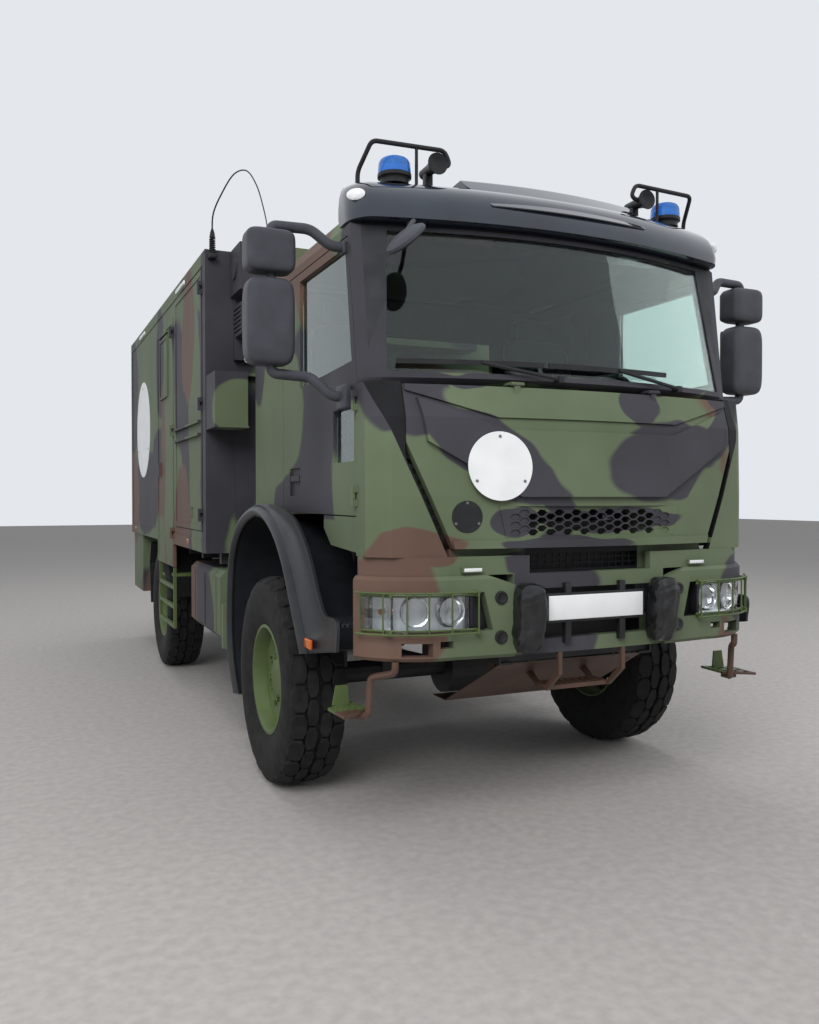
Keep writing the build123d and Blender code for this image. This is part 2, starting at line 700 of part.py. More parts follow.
cab_sections = [             # height, half width, front end of the side, corner x, corner y, nose y, rear y
    (1290, 1050, -1056, 960, -1110, -1228, 750),
    (2050, 1050, -1056, 960, -1110, -1232, 750),
    (2080, 1050, -1056, 957, -1127, -1300, 750),
    (2780, 1050, -965, 912, -1000, -1140, 750),
    (2850, 1020, -900, 880, -935, -1060, 745),
    (2930, 930, -640, 780, -670, -770, 700),
]
nose_sections = [            # height, half width, front end of the side, corner x, corner y, nose y
    (1290, 1056, -1168, 965, -1250, nose_y),
    (1560, 1056, -1168, 965, -1250, nose_y),
    (1900, 1056, -1160, 965, -1235, nose_y + 25),
    (2058, 1056, -1140, 950, -1190, nose_y + 75),
]


def plan_face(z, half_width, side_y, corner_x, corner_y, front_y, rear_y):
    """A cab outline from above: straight sides, a bevelled corner and an arc across the front."""
    lines = Polyline((corner_x, corner_y), (half_width, side_y), (half_width, rear_y),
                     (-half_width, rear_y), (-half_width, side_y), (-corner_x, corner_y))
    arc = ThreePointArc((-corner_x, corner_y), (0, front_y), (corner_x, corner_y))
    return Pos(0, 0, z) * make_face(lines + arc)


def cab_body(inset):
    """The cab's outer form, shrunk by an inset on every side but the bottom."""
    top = cab_sections[-1][0]
    return loft([
        plan_face(z - inset * (z == top), half - inset, side_y + inset * 0.5, corner_x - inset * 0.8,
                  corner_y + inset, front_y + inset, rear_y - inset)
        for z, half, side_y, corner_x, corner_y, front_y, rear_y in cab_sections
    ], ruled=True)


def nose_body(inset):
    """The form that the flap and the cheek panels share, shrunk by an inset."""
    return loft([
        plan_face(z, half - inset, side_y + inset * 0.5, corner_x - inset * 0.8, corner_y + inset,
                  front_y + inset, door_front_y - door_gap)
        for z, half, side_y, corner_x, corner_y, front_y in nose_sections
    ], ruled=True)


def door_outline(grow):
    """The cab door in the side view, grown by a clearance."""
    return [
        (door_front_y - grow, door_bottom - grow),
        (door_rear_y + grow, door_bottom - grow),
        (door_rear_y + grow, door_top + grow),
        (door_top_front_y - grow, door_top + grow),
        (door_front_y - grow, door_slant_z),
    ]


main_window = [(-985, 2165), (-200, 2130), (-200, 2690), (-900, 2690)]
low_window = [(-1015, 1715), (-735, 1715), (-735, 1960), (-1015, 1960)]


def shrink(points, amount):
    """The outline with every point moved towards its middle by about an amount."""
    middle_y = sum(p[0] for p in points) / len(points)
    middle_z = sum(p[1] for p in points) / len(points)
    return [(y - math.copysign(amount, y - middle_y), z - math.copysign(amount, z - middle_z)) for y, z in points]


def screen_window(grow):
    """The windscreen in the front view, grown by a clearance."""
    return front_plate([
        (-screen_half_bottom - grow, screen_bottom - grow),
        (screen_half_bottom + grow, screen_bottom - grow),
        (screen_half_top + grow, screen_top + grow),
        (-screen_half_top - grow, screen_top + grow),
    ], -1400, -800)


def cab_shell():
    """The hollow cab: walls, floor with the engine tunnel, roof, and openings for doors and windscreen."""
    base = [(-1300, 1285), (-1239, 1298), (-698, 1326), (-592, 1404), (-592, 1467), (-400, 1480), (800, 1480),
            (800, 3000), (-1300, 3000)]
    shell = cab_body(0) & side_plate(base, -1100, 1100)
    room = cab_body(cab_wall) & block(-1100, 1100, -1400, 800, cab_floor_top, 3000)
    room -= block(-tunnel_half_width, tunnel_half_width, -1400, tunnel_rear_y, 0, tunnel_top)
    shell -= room
    shell -= block(-tunnel_half_width + 40, tunnel_half_width - 40, -1400, tunnel_rear_y - 40, 0, tunnel_top - 40)
    shell -= block(-940, 940, -1120, -480, 0, cab_floor_top - 50)
    shell -= nose_body(-2) - nose_body(skin + fit)
    shell -= screen_window(0)
    opening = side_plate(door_outline(door_gap), cab_half_width - cab_wall - door_gap, cab_half_width + 20)
    sill_free = side_plate(door_outline(-30), cab_half_width - cab_wall - 60, cab_half_width + 20)
    shell -= both_sides(opening + sill_free)
    rear_window = block(-620, 620, 600, 800, 2160, 2620)
    shell -= rear_window
    for x in flap_hinge_xs:
        shell += flap_hinge_fixed(x)
    return shell


tunnel_half_width = 400
tunnel_rear_y = 60
tunnel_top = 1640
cab_hinge_zs = [1560, 1980]
hinge_pin = 6
hinge_barrel = 11
hinge_half = 15              # half length of the middle barrel
hinge_stand_off = 18         # axis of the pin outside the face


def hinge_fixed(side, face_x, y, z):
    """The pin, two end barrels and leaf that stay on the body; the door lies behind the pin."""
    x = side * (face_x + hinge_stand_off)
    pin = rod((x, y, z - 3 * hinge_half), (x, y, z + 3 * hinge_half), hinge_pin)
    low_x, high_x = sorted((side * (face_x - panel_recess - 2), x))
    leaf = []
    for z0, z1 in ((z - 3 * hinge_half, z - hinge_half - 1), (z + hinge_half + 1, z + 3 * hinge_half)):
        leaf.append(rod((x, y, z0), (x, y, z1), hinge_barrel))
        leaf.append(block(low_x, high_x, y - 26, y - 3, z0, z1))
    return pin + leaf


def hinge_moving(side, face_x, y, z):
    """The middle barrel and leaf that ride on the door."""
    x = side * (face_x + hinge_stand_off)
    low_x, high_x = sorted((side * face_x, x))
    barrel = rod((x, y, z - hinge_half), (x, y, z + hinge_half), hinge_barrel)
    barrel += block(low_x, high_x, y + 5, y + 28, z - hinge_half, z + hinge_half)
    return barrel - bore((x, y, z - 50), (x, y, z + 50), hinge_pin + pin_play)


def cab_door(side):
    """One cab door with its window openings, handle recess and hinge barrels."""
    low, high = sorted((side * (cab_half_width - cab_wall), side * cab_half_width))
    door = side_plate(door_outline(0), low, high)
    door -= side_plate(main_window, low - 10, high + 10)
    door -= side_plate(low_window, low - 10, high + 10)
    out_low, out_high = sorted((side * (cab_half_width - 14), side * (cab_half_width + 10)))
    door -= block(out_low, out_high, -200, -10, 1560, 1710)
    grip_low, grip_high = sorted((side * (cab_half_width - 14), side * (cab_half_width + 2)))
    door += block(grip_low, grip_high, -185, -30, 1640, 1670)
    for z in cab_hinge_zs:
        door += hinge_moving(side, cab_half_width, door_front_y - door_gap / 2, z)
    return door


def door_glass(side):
    """The panes of one cab door: the main window and the low window."""
    middle = side * (cab_half_width - cab_wall / 2)
    low, high = middle - glass_thickness / 2, middle + glass_thickness / 2
    return side_plate(shrink(main_window, fit), low, high) + side_plate(shrink(low_window, fit), low, high)


def windscreen():
    """The curved laminated windscreen."""
    sheet = cab_body(glass_inset) - cab_body(glass_inset + glass_thickness)
    return sheet & screen_window(-fit)


def honeycomb():
    """A plate of wide six-sided cells in staggered columns; those at the ends and on top are blind."""
    outline = [(-comb_half_bottom, comb_bottom), (comb_half_bottom, comb_bottom),
               (comb_half_top, comb_top), (-comb_half_top, comb_top)]
    y0 = nose_y + comb_recess
    plate = front_plate(outline, y0, y0 + comb_depth)
    reach, flat, high = cell_width / 2, cell_width / 2 - cell_height / 2, cell_height / 2
    cells = []
    columns = int(comb_half_top / cell_column)
    for i in range(-columns, columns + 1):
        for j in range(5):
            x = i * cell_column
            z = comb_bottom + (cell_height + cell_wall) * (j + 0.5 * (i % 2)) + 2
            edge = comb_half_bottom + (z - comb_bottom) * (comb_half_top - comb_half_bottom) / (comb_top - comb_bottom)
            if z - high < comb_bottom or z + high > comb_top or abs(x) + reach > edge:
                continue
            blind = abs(x) > comb_open_half or z + high > comb_open_top
            depth = blind_depth if blind else comb_depth + 5
            cells.append(front_plate([(x - reach, z), (x - flat, z - high), (x + flat, z - high), (x + reach, z),
                                      (x + flat, z + high), (x - flat, z + high)], y0 - 5, y0 + depth))
    return plate - cells


def flap_outline(grow):
    """The front flap in the front view, grown by a clearance."""
    half, low = flap_half_width + grow, flap_bottom_half_width + grow
    return [(-low, flap_bottom), (low, flap_bottom), (half, flap_shoulder_z), (half, flap_top),
            (-half, flap_top), (-half, flap_shoulder_z)]


def front_flap():
    """The flap under the windscreen: skin, raised brow, overhanging shield and the honeycomb grille."""
    flap = (nose_body(0) - nose_body(skin)) & front_plate(flap_outline(0), -1500, -1000)
    opening = [(-comb_half_bottom, comb_bottom), (comb_half_bottom, comb_bottom),
               (comb_half_top, comb_top), (-comb_half_top, comb_top)]
    flap -= front_plate(opening, -1500, -1000)
    shield = [(-815, 1795), (-395, shield_bottom), (395, shield_bottom), (815, 1795), (850, 1985), (465, 1850),
              (-465, 1850), (-850, 1985)]
    flap += (nose_body(-shield_rise) - nose_body(10)) & front_plate(shield, -1500, -1000)
    brow = [(-flap_half_width + 4, 2018), (-490, 1905), (490, 1905), (flap_half_width - 4, 2018),
            (flap_half_width - 4, flap_top), (-flap_half_width + 4, flap_top)]
    flap += (nose_body(-brow_rise) - nose_body(10)) & front_plate(brow, -1500, -1000)
    lip = [(-flap_bottom_half_width, flap_bottom), (flap_bottom_half_width, flap_bottom),
           (flap_bottom_half_width + 10, flap_bottom + 36), (-flap_bottom_half_width - 10, flap_bottom + 36)]
    flap += (nose_body(-10) - nose_body(10)) & front_plate(lip, -1500, -1000)
    flap += honeycomb()
    for x in flap_hinge_xs:
        flap += flap_hinge_moving(x)
    return flap


def flap_hinge_moving(x):
    """An ear on the flap around the flap's hinge pin."""
    barrel = rod((x - 15, flap_hinge_y, flap_hinge_z), (x + 15, flap_hinge_y, flap_hinge_z), 9)
    barrel += block(x - 15, x + 15, flap_hinge_y - 2, flap_hinge_y + 20, flap_top - 40, flap_hinge_z)
    return barrel - bore((x - 30, flap_hinge_y, flap_hinge_z), (x + 30, flap_hinge_y, flap_hinge_z), 5 + pin_play)


def flap_hinge_fixed(x):
    """The pin of the flap's hinge and its two lugs, on the cab's front wall."""
    piece = rod((x - 32, flap_hinge_y, flap_hinge_z), (x + 32, flap_hinge_y, flap_hinge_z), 5)
    for x0 in (x - 32, x + 16):
        piece += rod((x0, flap_hinge_y, flap_hinge_z), (x0 + 16, flap_hinge_y, flap_hinge_z), 9)
        piece += block(x0, x0 + 16, flap_hinge_y, -1180, flap_hinge_z - 3, flap_hinge_z + 9)
    return piece


flap_hinge_z = flap_top + 14
flap_hinge_xs = [-380, 380]


def corner_panels():
    """The cheek panels beside the flap, with slats set back in the slot between them."""
    outline = [(flap_half_width + door_gap, 2058), (flap_half_width + door_gap, flap_shoulder_z - 54),
               (flap_bottom_half_width + slot_width, flap_bottom), (flap_bottom_half_width + 20, 1296),
               (1100, 1296), (1100, 2058)]
    panel = (nose_body(0) - nose_body(skin)) & front_plate(outline, -1500, -1000)
    low, high = flap_bottom + 40, flap_shoulder_z - 30
    lean = (flap_half_width - flap_bottom_half_width) / (flap_shoulder_z - flap_bottom)
    low_x = flap_bottom_half_width + lean * (low - flap_bottom)
    high_x = flap_bottom_half_width + lean * (high - flap_bottom)
    strip = [(low_x - 20, low), (low_x + 90, low), (high_x + 60, high), (high_x - 20, high)]
    panel += (nose_body(skin + 6) - nose_body(skin + 16)) & front_plate(strip, -1500, -1000)
    joint = [(low_x + 60, low), (low_x + 90, low), (high_x + 60, high), (high_x + 36, high)]
    panel += (nose_body(skin - 1) - nose_body(skin + 7)) & front_plate(joint, -1500, -1000)
    for z in range(low + 20, high - 30, slat_pitch):
        x = flap_bottom_half_width + lean * (z - flap_bottom)
        panel -= front_plate([(x - 6, z), (x + 34, z), (x + 44, z + 24), (x + 4, z + 24)], -1340, -1000)
    for z in cab_hinge_zs:
        panel += hinge_fixed(1, cab_half_width, door_front_y - door_gap / 2, z)
    return both_sides(panel)


def lower_grille():
    """The mesh panel under the flap's lip and the panels beside it."""
    rear_y = mesh_front_y + mesh_frame_depth
    panel = block(-700, 700, mesh_front_y, rear_y, 1214, 1326)
    panel -= block(-mesh_half_width, mesh_half_width, mesh_front_y - 5, mesh_front_y + 10, mesh_bottom, mesh_top)
    panel -= block(-mesh_half_width, mesh_half_width, rear_y - 6, rear_y + 5, mesh_bottom, mesh_top)
    wide, high = 2 * mesh_half_width / mesh_columns, (mesh_top - mesh_bottom) / mesh_rows
    for i in range(mesh_columns):
        for j in range(mesh_rows):
            x, z = -mesh_half_width + wide * i, mesh_bottom + high * j
            panel -= block(x + mesh_wire, x + wide - mesh_wire, mesh_front_y + 8, rear_y - 4,
                           z + mesh_wire, z + high - mesh_wire)
    _, _, _, corner_x, corner_y, front_y, _ = cab_sections[0]
    bracket = block(mesh_half_width + 80, mesh_half_width + 120, rear_y,
                    arc_y(mesh_half_width + 80, corner_x, corner_y, front_y) - fit, 1302, 1324)
    return panel + both_sides(bracket)


def roof_visor():
    """The dark visor over the windscreen: rounded shoulders and a raised panel in its middle."""
    sections = [             # height, half width, front end of the side, corner x, corner y, nose y, rear y
        (visor_bottom, 1046, -880, 890, -1050, -1205, -835),
        (2880, 1048, -900, 900, -1045, -1190, -835),
        (2972, 1042, -890, 880, -1000, -1115, -835),
        (visor_top, 1000, -850, 840, -925, -1005, -785),
    ]
    panel_sections = [
        (2880, 430, -1105, 415, -1140, -1205, -900),
        (3060, 495, -950, 480, -975, -1010, -900),
    ]
    visor = loft([plan_face(*row) for row in sections], ruled=True)
    visor += loft([plan_face(*row) for row in panel_sections], ruled=True)
    return visor - cab_body(0)


visor_bottom = 2795
visor_top = 3012
visor_seat = visor_top + fit


def beacons():
    """Two blue beacons on the visor's shoulders."""
    stack = [(62, 0, 48), (76, 48, 118), (60, 118, 145)]        # radius, bottom and top above the seat
    one = [rod((797, -881, visor_seat + z0), (797, -881, visor_seat + z1), radius) for radius, z0, z1 in stack]
    return both_sides(one[0] + one[1] + one[2])


def roof_fittings():
    """Horns and bent guard tubes beside the beacons."""
    horn = rod((610, -965, 3118), (610, -925, 3118), 50)
    horn += rod((610, -925, 3118), (610, -800, 3118), 30)
    horn += block(590, 630, -870, -830, visor_seat, 3118)
    guard = tube([(964, -835, visor_seat), (964, -835, 3070), (930, -930, 3186), (560, -930, 3196),
                  (530, -932, 3130), (600, -940, 3105)], 11, 20)
    guard += rod((705, -928, 3190), (705, -928, visor_seat), 9)
    return both_sides(horn + guard)


def mirrors(side):
    """The upper and lower mirror housings on their arms, carried by the door."""
    def housing(z0, z1):
        plan = [(1262, -810), (1300, -770), (1460, -770), (1498, -810), (1490, -870), (1440, -905), (1320, -905),
                (1270, -870)]
        case = extrude(Pos(0, 0, z0) * make_face(Polyline(*plan, close=True)), z1 - z0)
        ends = case.edges().group_by(Axis.Z)
        return chamfer(ends[0] + ends[-1], 22)
    arm = tube([(cab_half_width + fit, -900, 2690), (1120, -900, 2690), (1200, -850, 2770), (1380, -835, 2770),
                (1380, -835, 2690)], 18, 45)
    low_arm = tube([(cab_half_width + fit, -920, 2010), (1120, -920, 2010), (1200, -850, 2100), (1380, -835, 2110),
                    (1380, -835, 2210)], 20, 45)
    post = rod((1380, -835, 2500), (1380, -835, 2570), 22)
    foot = block(cab_half_width + fit, cab_half_width + 40, -1000, -880, 1950, 2060)
    foot += block(cab_half_width + fit, cab_half_width + 16, -925, -875, 2660, 2715)
    shape = housing(2560, 2740) + housing(2150, 2515) + arm + low_arm + post + foot
    return shape if side > 0 else mirror(shape, Plane.YZ)


def wipers():
    """Two wipers on the cowl and the kerb mirror over the windscreen's right corner."""
    shape = None
    for base_x, tip_x in wiper_spans:
        foot_y = screen_y(abs(base_x) - wiper_foot_half, cab_sections[2][0])
        middle_x = (base_x + tip_x) / 2
        foot = block(base_x - wiper_foot_half, base_x + wiper_foot_half, foot_y - 44, foot_y - fit,
                     wiper_foot_z - wiper_foot_half, wiper_foot_z + wiper_foot_half)
        ends = [(x, screen_y(x, wiper_blade_z) - wiper_stand_off, wiper_blade_z) for x in
                (tip_x, (tip_x + base_x - 70) / 2, base_x - 70)]
        path = ThreePointArc(*ends)
        blade = sweep((path ^ 0) * Rectangle(10, 22), path=path)
        hold = (middle_x, screen_y(middle_x, wiper_blade_z) - wiper_stand_off - 6, wiper_blade_z)
        arm = rod((base_x, foot_y - 36, wiper_foot_z), hold, 9)
        piece = arm + blade + foot
        shape = piece if shape is None else shape + piece
    return shape


wiper_spans = [(-170, -905), (550, -215)]       # x of the foot, x of the blade's tip
wiper_foot_z = 2086
wiper_foot_half = 14
wiper_blade_z = 2150
wiper_stand_off = 26


def screen_y(x, z):
    """The cab's outer front surface at x, between the screen's bottom and top sections."""
    low, high = cab_sections[2], cab_sections[3]
    share = (z - low[0]) / (high[0] - low[0])
    places = []
    for _, _, _, corner_x, corner_y, front_y, _ in (low, high):
        places.append(arc_y(x, corner_x, corner_y, front_y))
    return places[0] + share * (places[1] - places[0])


def arc_y(x, corner_x, corner_y, front_y):
    """The y of an outline's front arc at x, given its corner and its foremost point."""
    rise = corner_y - front_y
    bend = (corner_x ** 2 + rise ** 2) / (2 * rise)
    return front_y + bend - math.sqrt(bend ** 2 - x ** 2)


def kerb_mirror():
    """The round mirror that hangs in front of the windscreen's top right corner."""
    arm = tube([(-800, -1056, visor_bottom - fit), (-800, -1056, 2765), (-860, -1240, 2750), (-925, -1292, 2690)],
               9, 14)
    head = rod((-920, -1280, 2624), (-936, -1322, 2636), 90)
    return arm + head


def seats():
    """Three seats with headrests, seen through the glass."""
    shape = None
    for x in (-640, 640):
        seat = block(x - 240, x + 240, -420, 60, cab_floor_top + 330, cab_floor_top + 440)
        back = side_plate([(20, cab_floor_top + 420), (130, cab_floor_top + 420), (260, 2560), (170, 2560)],
                          x - 235, x + 235)
        head = block(x - 130, x + 130, 205, 285, 2500, 2700)
        base = block(x - 180, x + 180, -330, 20, cab_floor_top + fit, cab_floor_top + 330)
        piece = seat + back + head + base
        shape = piece if shape is None else shape + piece
    return shape


def dashboard():
    """The dashboard and the steering wheel."""
    shelf = side_plate([(-1130, 1700), (-1130, 2040), (-1060, 2075), (-820, 2050), (-740, 1960), (-760, 1720)],
                       -990, 990)
    shelf = shelf & cab_body(cab_wall + 15)
    column = rod((560, -800, 1900), (560, -610, 2042), 40)
    rim_section = [(0, 232), (14, 222), (14, 208), (0, 198), (-14, 208), (-14, 222)]
    wheel = Pos(560, -610, 2042) * Rot(-52, 0, 0) * Rot(0, 90, 0) * faceted_ring(rim_section, 24)
    spokes = Pos(560, -610, 2042) * Rot(-52, 0, 0) * (Box(430, 46, 16) + Pos(0, -100, 0) * Box(46, 210, 16))
    foot = block(-900, -860, -1000, -900, cab_floor_top + fit, 1720)
    foot += block(860, 900, -1000, -900, cab_floor_top + fit, 1720)
    return shelf + column + wheel + spokes + foot


# Box body

def box_shell():
    """The hollow box body with edge profiles, openings for its doors and a locker behind the right front hatch."""
    x, wall = box_half_width, box_wall
    outer = block(-x, x, box_front_y, box_rear_y, box_bottom, box_top)
    for side in (1, -1):
        low, high = sorted((side * (x - panel_recess), side * (x + 5)))
        outer -= block(low, high, box_front_y + edge_band, box_rear_y - edge_band,
                       box_bottom + edge_band, box_top - edge_band)
    room = block(-x + wall, x - wall, box_front_y + wall, box_rear_y - wall, box_bottom + box_floor, box_top - wall)
    cupboard = block(-x, -x + locker_depth + 20, box_front_y, locker_rear_y + 40, locker_bottom - 40, locker_top + 30)
    outer -= room - cupboard
    outer -= block(-x - 1, -x + locker_depth, locker_front_y - door_gap, locker_rear_y + door_gap,
                   locker_bottom - door_gap, locker_top + door_gap)
    outer -= block(-x - 1, -x + wall + 1, side_door_front_y - door_gap, side_door_rear_y + door_gap,
                   box_bottom - 1, side_door_top + door_gap)
    outer -= block(-rear_door_edge_x - door_gap, rear_door_edge_x + door_gap, box_rear_y - wall - 1, box_rear_y + 1,
                   rear_door_bottom - door_gap, rear_door_top + door_gap)
    for z in side_hinge_zs:
        outer += hinge_fixed(-1, x, side_door_front_y - door_gap / 2, z)
    for z in locker_hinge_zs:
        outer += hinge_fixed(-1, x, locker_front_y - door_gap / 2, z)
    for z in rear_hinge_zs:
        outer += both_sides(rear_hinge_fixed(z))
    locker = block(860, x - 20, wheelbase + 1060, box_rear_y - 60, 580, box_bottom)
    return outer + both_sides(locker)


side_hinge_zs = [1260, 2100, 2900]
locker_hinge_zs = [1430, 2200, 3000]
rear_hinge_zs = [1400, 2150, 2950]


def rear_hinge_fixed(z):
    """The body half of a rear door hinge on the left side, with its pin behind the rear face."""
    y, x = box_rear_y + hinge_stand_off, rear_door_edge_x + door_gap / 2
    piece = rod((x, y, z - 3 * hinge_half), (x, y, z + 3 * hinge_half), hinge_pin)
    for z0, z1 in ((z - 3 * hinge_half, z - hinge_half - 1), (z + hinge_half + 1, z + 3 * hinge_half)):
        piece += rod((x, y, z0), (x, y, z1), hinge_barrel)
        piece += block(x + 5, x + 28, box_rear_y, y, z0, z1)
    return piece


def rear_hinge_moving(z):
    """The door half of a rear door hinge on the left side."""
    y, x = box_rear_y + hinge_stand_off, rear_door_edge_x + door_gap / 2
    barrel = rod((x, y, z - hinge_half), (x, y, z + hinge_half), hinge_barrel)
    barrel += block(x - 28, x - 5, box_rear_y, y, z - hinge_half, z + hinge_half)
    return barrel - bore((x, y, z - 50), (x, y, z + 50), hinge_pin + pin_play)


def rear_door(side):
    """One rear door with a raised frame, a window and a lock rod."""
    door = block(door_gap / 2, rear_door_edge_x, box_rear_y - box_wall, box_rear_y, rear_door_bottom, rear_door_top)
    door -= block(90, rear_door_edge_x - 90, box_rear_y - panel_recess, box_rear_y + 5,
                  rear_door_bottom + 90, rear_door_top - 90)
    door += rod((60, box_rear_y + 8, rear_door_bottom + 40), (60, box_rear_y + 8, rear_door_top - 40), 9)
    for z in rear_hinge_zs:
        door += rear_hinge_moving(z)
    return door if side > 0 else mirror(door, Plane.YZ)


def side_panel(y0, y1, z0, z1, hinge_zs):
    """A door in the box's right wall, hinged along its front edge."""
    x = -box_half_width
    door = block(x, x + box_wall - 4, y0, y1, z0, z1)
    door -= block(x - 5, x + panel_recess, y0 + 40, y1 - 40, z0 + 40, z1 - 40)
    for z in hinge_zs:
        door += hinge_moving(-1, box_half_width, y0 - door_gap / 2, z)
    return door


def box_side_door():
    """The side door: it reaches below the floor and has a window frame, a drip rail and a handle."""
    door = side_panel(side_door_front_y, side_door_rear_y, side_door_bottom, side_door_top, side_hinge_zs)
    x = -box_half_width
    door -= block(x + skirt_thickness, x + box_wall, side_door_front_y, side_door_rear_y,
                  side_door_bottom, box_bottom)
    door += block(x - 8, x + panel_recess + 1, 2960, 3370, 2410, 2930)
    door -= block(x - 12, x - 2, 2985, 3345, 2435, 2905)
    door += block(x - 14, x + panel_recess + 1, 2950, 3380, 2950, 2965)
    door += block(x - 20, x + panel_recess + 1, 3360, 3400, 1740, 1860)
    return door


def locker_door():
    """The locker hatch with its latch and the pair of rails across it."""
    door = side_panel(locker_front_y, locker_rear_y, locker_bottom, locker_top, locker_hinge_zs)
    x = -box_half_width
    for z in (1995, 2085):
        door += block(x - 22, x + panel_recess + 1, 1500, 2560, z - 8, z + 8)
    door -= block(x - 30, x + panel_recess + 8, 1790, 1910, 1400, 1480)
    return door


def box_ladder():
    """The folding ladder under the side door."""
    x = -box_half_width + 12
    shape = None
    for y in (2705, 3465):
        rail = block(x - 12, x + 12, y - 12, y + 12, 470, side_door_bottom - door_gap)
        shape = rail if shape is None else shape + rail
    for z in (480, 640, 800):
        shape += block(x - 12, x + 12, 2717, 3453, z - 8, z + 24)
    shape += block(x - 12, -rail_outer_x - fit, 2693, 2717, 900, 924)
    shape += block(x - 12, -rail_outer_x - fit, 2760, 2784, 900, 924)
    return shape


def box_front_units():
    """The cooler with its red lens, the louvred case, the ledge and the cabinet on the box's front wall."""
    y1 = box_front_y - fit
    cooler = block(-1080, 700, y1 - 300, y1, 2920, 3228)
    cooler += rod((-1092, y1 - 150, 3080), (-1080, y1 - 150, 3080), 70)
    louvre = block(-1060, 700, y1 - 250, y1, 2640, 2850)
    for z in range(2665, 2840, 30):
        louvre -= block(-1070, -1050, y1 - 235, y1 - 15, z, z + 12)
    panel = block(-1060, 900, y1 - 60, y1, 2490, 2640)
    ledge = block(-1210, 1000, y1 - 90, y1, 2380, 2400)
    cabinet = block(-1246, -1030, y1 - 300, y1, 2010, 2376)
    cabinet += block(-1250, -1026, y1 - 310, y1, 2010, 2022)
    shape = cooler + louvre + panel + ledge + cabinet
    shape += block(-1060, 700, y1 - 20, y1, 2840, 2930)
    return shape + block(-1050, 1000, y1 - 20, y1, 1200, 2390)


def antenna():
    """The whip antenna: a spring base on the box's front wall and a rod bent forward to a clip on the cab roof."""
    x = -box_half_width + 44
    y = box_front_y - 34
    foot = block(x - 26, x + 26, y - 26, box_front_y - fit, box_top - 70, box_top - 40)
    foot += rod((x, y, box_top - 40), (x, y, box_top + 130), 22)
    line = [(x, y, box_top + 60), (x - 6, y - 60, box_top + 210), (x + 18, 1040, 3540), (x + 60, 900, 3610),
            (x + 105, 760, 3590), (x + 140, 660, 3480), (x + 165, 600, 3340), (x + 185, 560, 3180),
            (x + 200, 530, 2900)]
    path = Polyline(*line)
    whip = sweep((path ^ 0) * RegularPolygon(5, 4), path=path, transition=Transition.RIGHT)
    return foot + (whip - cab_body(-0.3))


def tail_lamps():
    """Rear lamp clusters under the box's rear corners."""
    lamp = block(820, 1080, frame_rear_y + 60 + fit, frame_rear_y + 78, 650, 750)
    return both_sides(lamp)


# The pieces are written one by one; the bumper is kept because the lamp guards stand on it.

os.makedirs("parts", exist_ok=True)
for place, x, y in wheel_places:
    save(f"tyre_{place}", across(one_tyre, x, y, tyre_radius))
    save(f"rim_{place}", across(one_rim, x, y, tyre_radius))

left_knuckle = knuckle()
front_bumper_solid = front_bumper()
rear_spindle = rod((800, wheelbase, tyre_radius), (wheel_x + spindle_end, wheelbase, tyre_radius), spindle_radius)
rear_drum = rod((kingpin_x + 60, wheelbase, tyre_radius), (kingpin_x + 130, wheelbase, tyre_radius), 200)

pieces = {
    "chassis_frame": chassis_frame(),
    "front_axle": front_axle(),
    "rear_axle": axle_beam(wheelbase, 880, -1) + both_sides(rear_spindle + rear_drum),
    "knuckle_left": left_knuckle,
    "knuckle_right": mirror(left_knuckle, Plane.YZ),
    "tie_rod": tie_rod(),
    "powertrain": powertrain(),
    "radiator": radiator(),
    "front_bumper": front_bumper_solid,
    "headlamps": headlamps(),
    "lamp_guards": lamp_guards(),
    "hook_covers": hook_covers(),
    "skid_plate": skid_plate(),
    "entry_steps": entry_steps(),
    "front_fenders": front_fenders(),
    "rear_fenders": rear_fenders(),
    "fuel_tank": fuel_tank(),
    "battery_box": battery_box(),
    "cab_shell": cab_shell(),
    "windscreen": windscreen(),
    "front_flap": front_flap(),
    "corner_panels": corner_panels(),
    "lower_grille": lower_grille(),
    "roof_visor": roof_visor(),
    "beacons": beacons(),
    "roof_fittings": roof_fittings(),
    "wipers": wipers(),
    "kerb_mirror": kerb_mirror(),
    "seats": seats(),
    "dashboard": dashboard(),
    "box_shell": box_shell(),
    "box_side_door": box_side_door(),
    "locker_door": locker_door(),
    "box_ladder": box_ladder(),
    "box_front_units": box_front_units(),
    "antenna": antenna(),
    "tail_lamps": tail_lamps(),
}
for side, place in ((1, "left"), (-1, "right")):
    pieces[f"cab_door_{place}"] = cab_door(side)
    pieces[f"door_glass_{place}"] = door_glass(side)
    pieces[f"mirrors_{place}"] = mirrors(side)
    pieces[f"rear_door_{place}"] = rear_door(side)
for name, shape in pieces.items():
    save(name, shape)
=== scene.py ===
import json
import math

import bmesh
import bpy
import numpy as np
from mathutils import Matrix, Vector
from mathutils.bvhtree import BVHTree

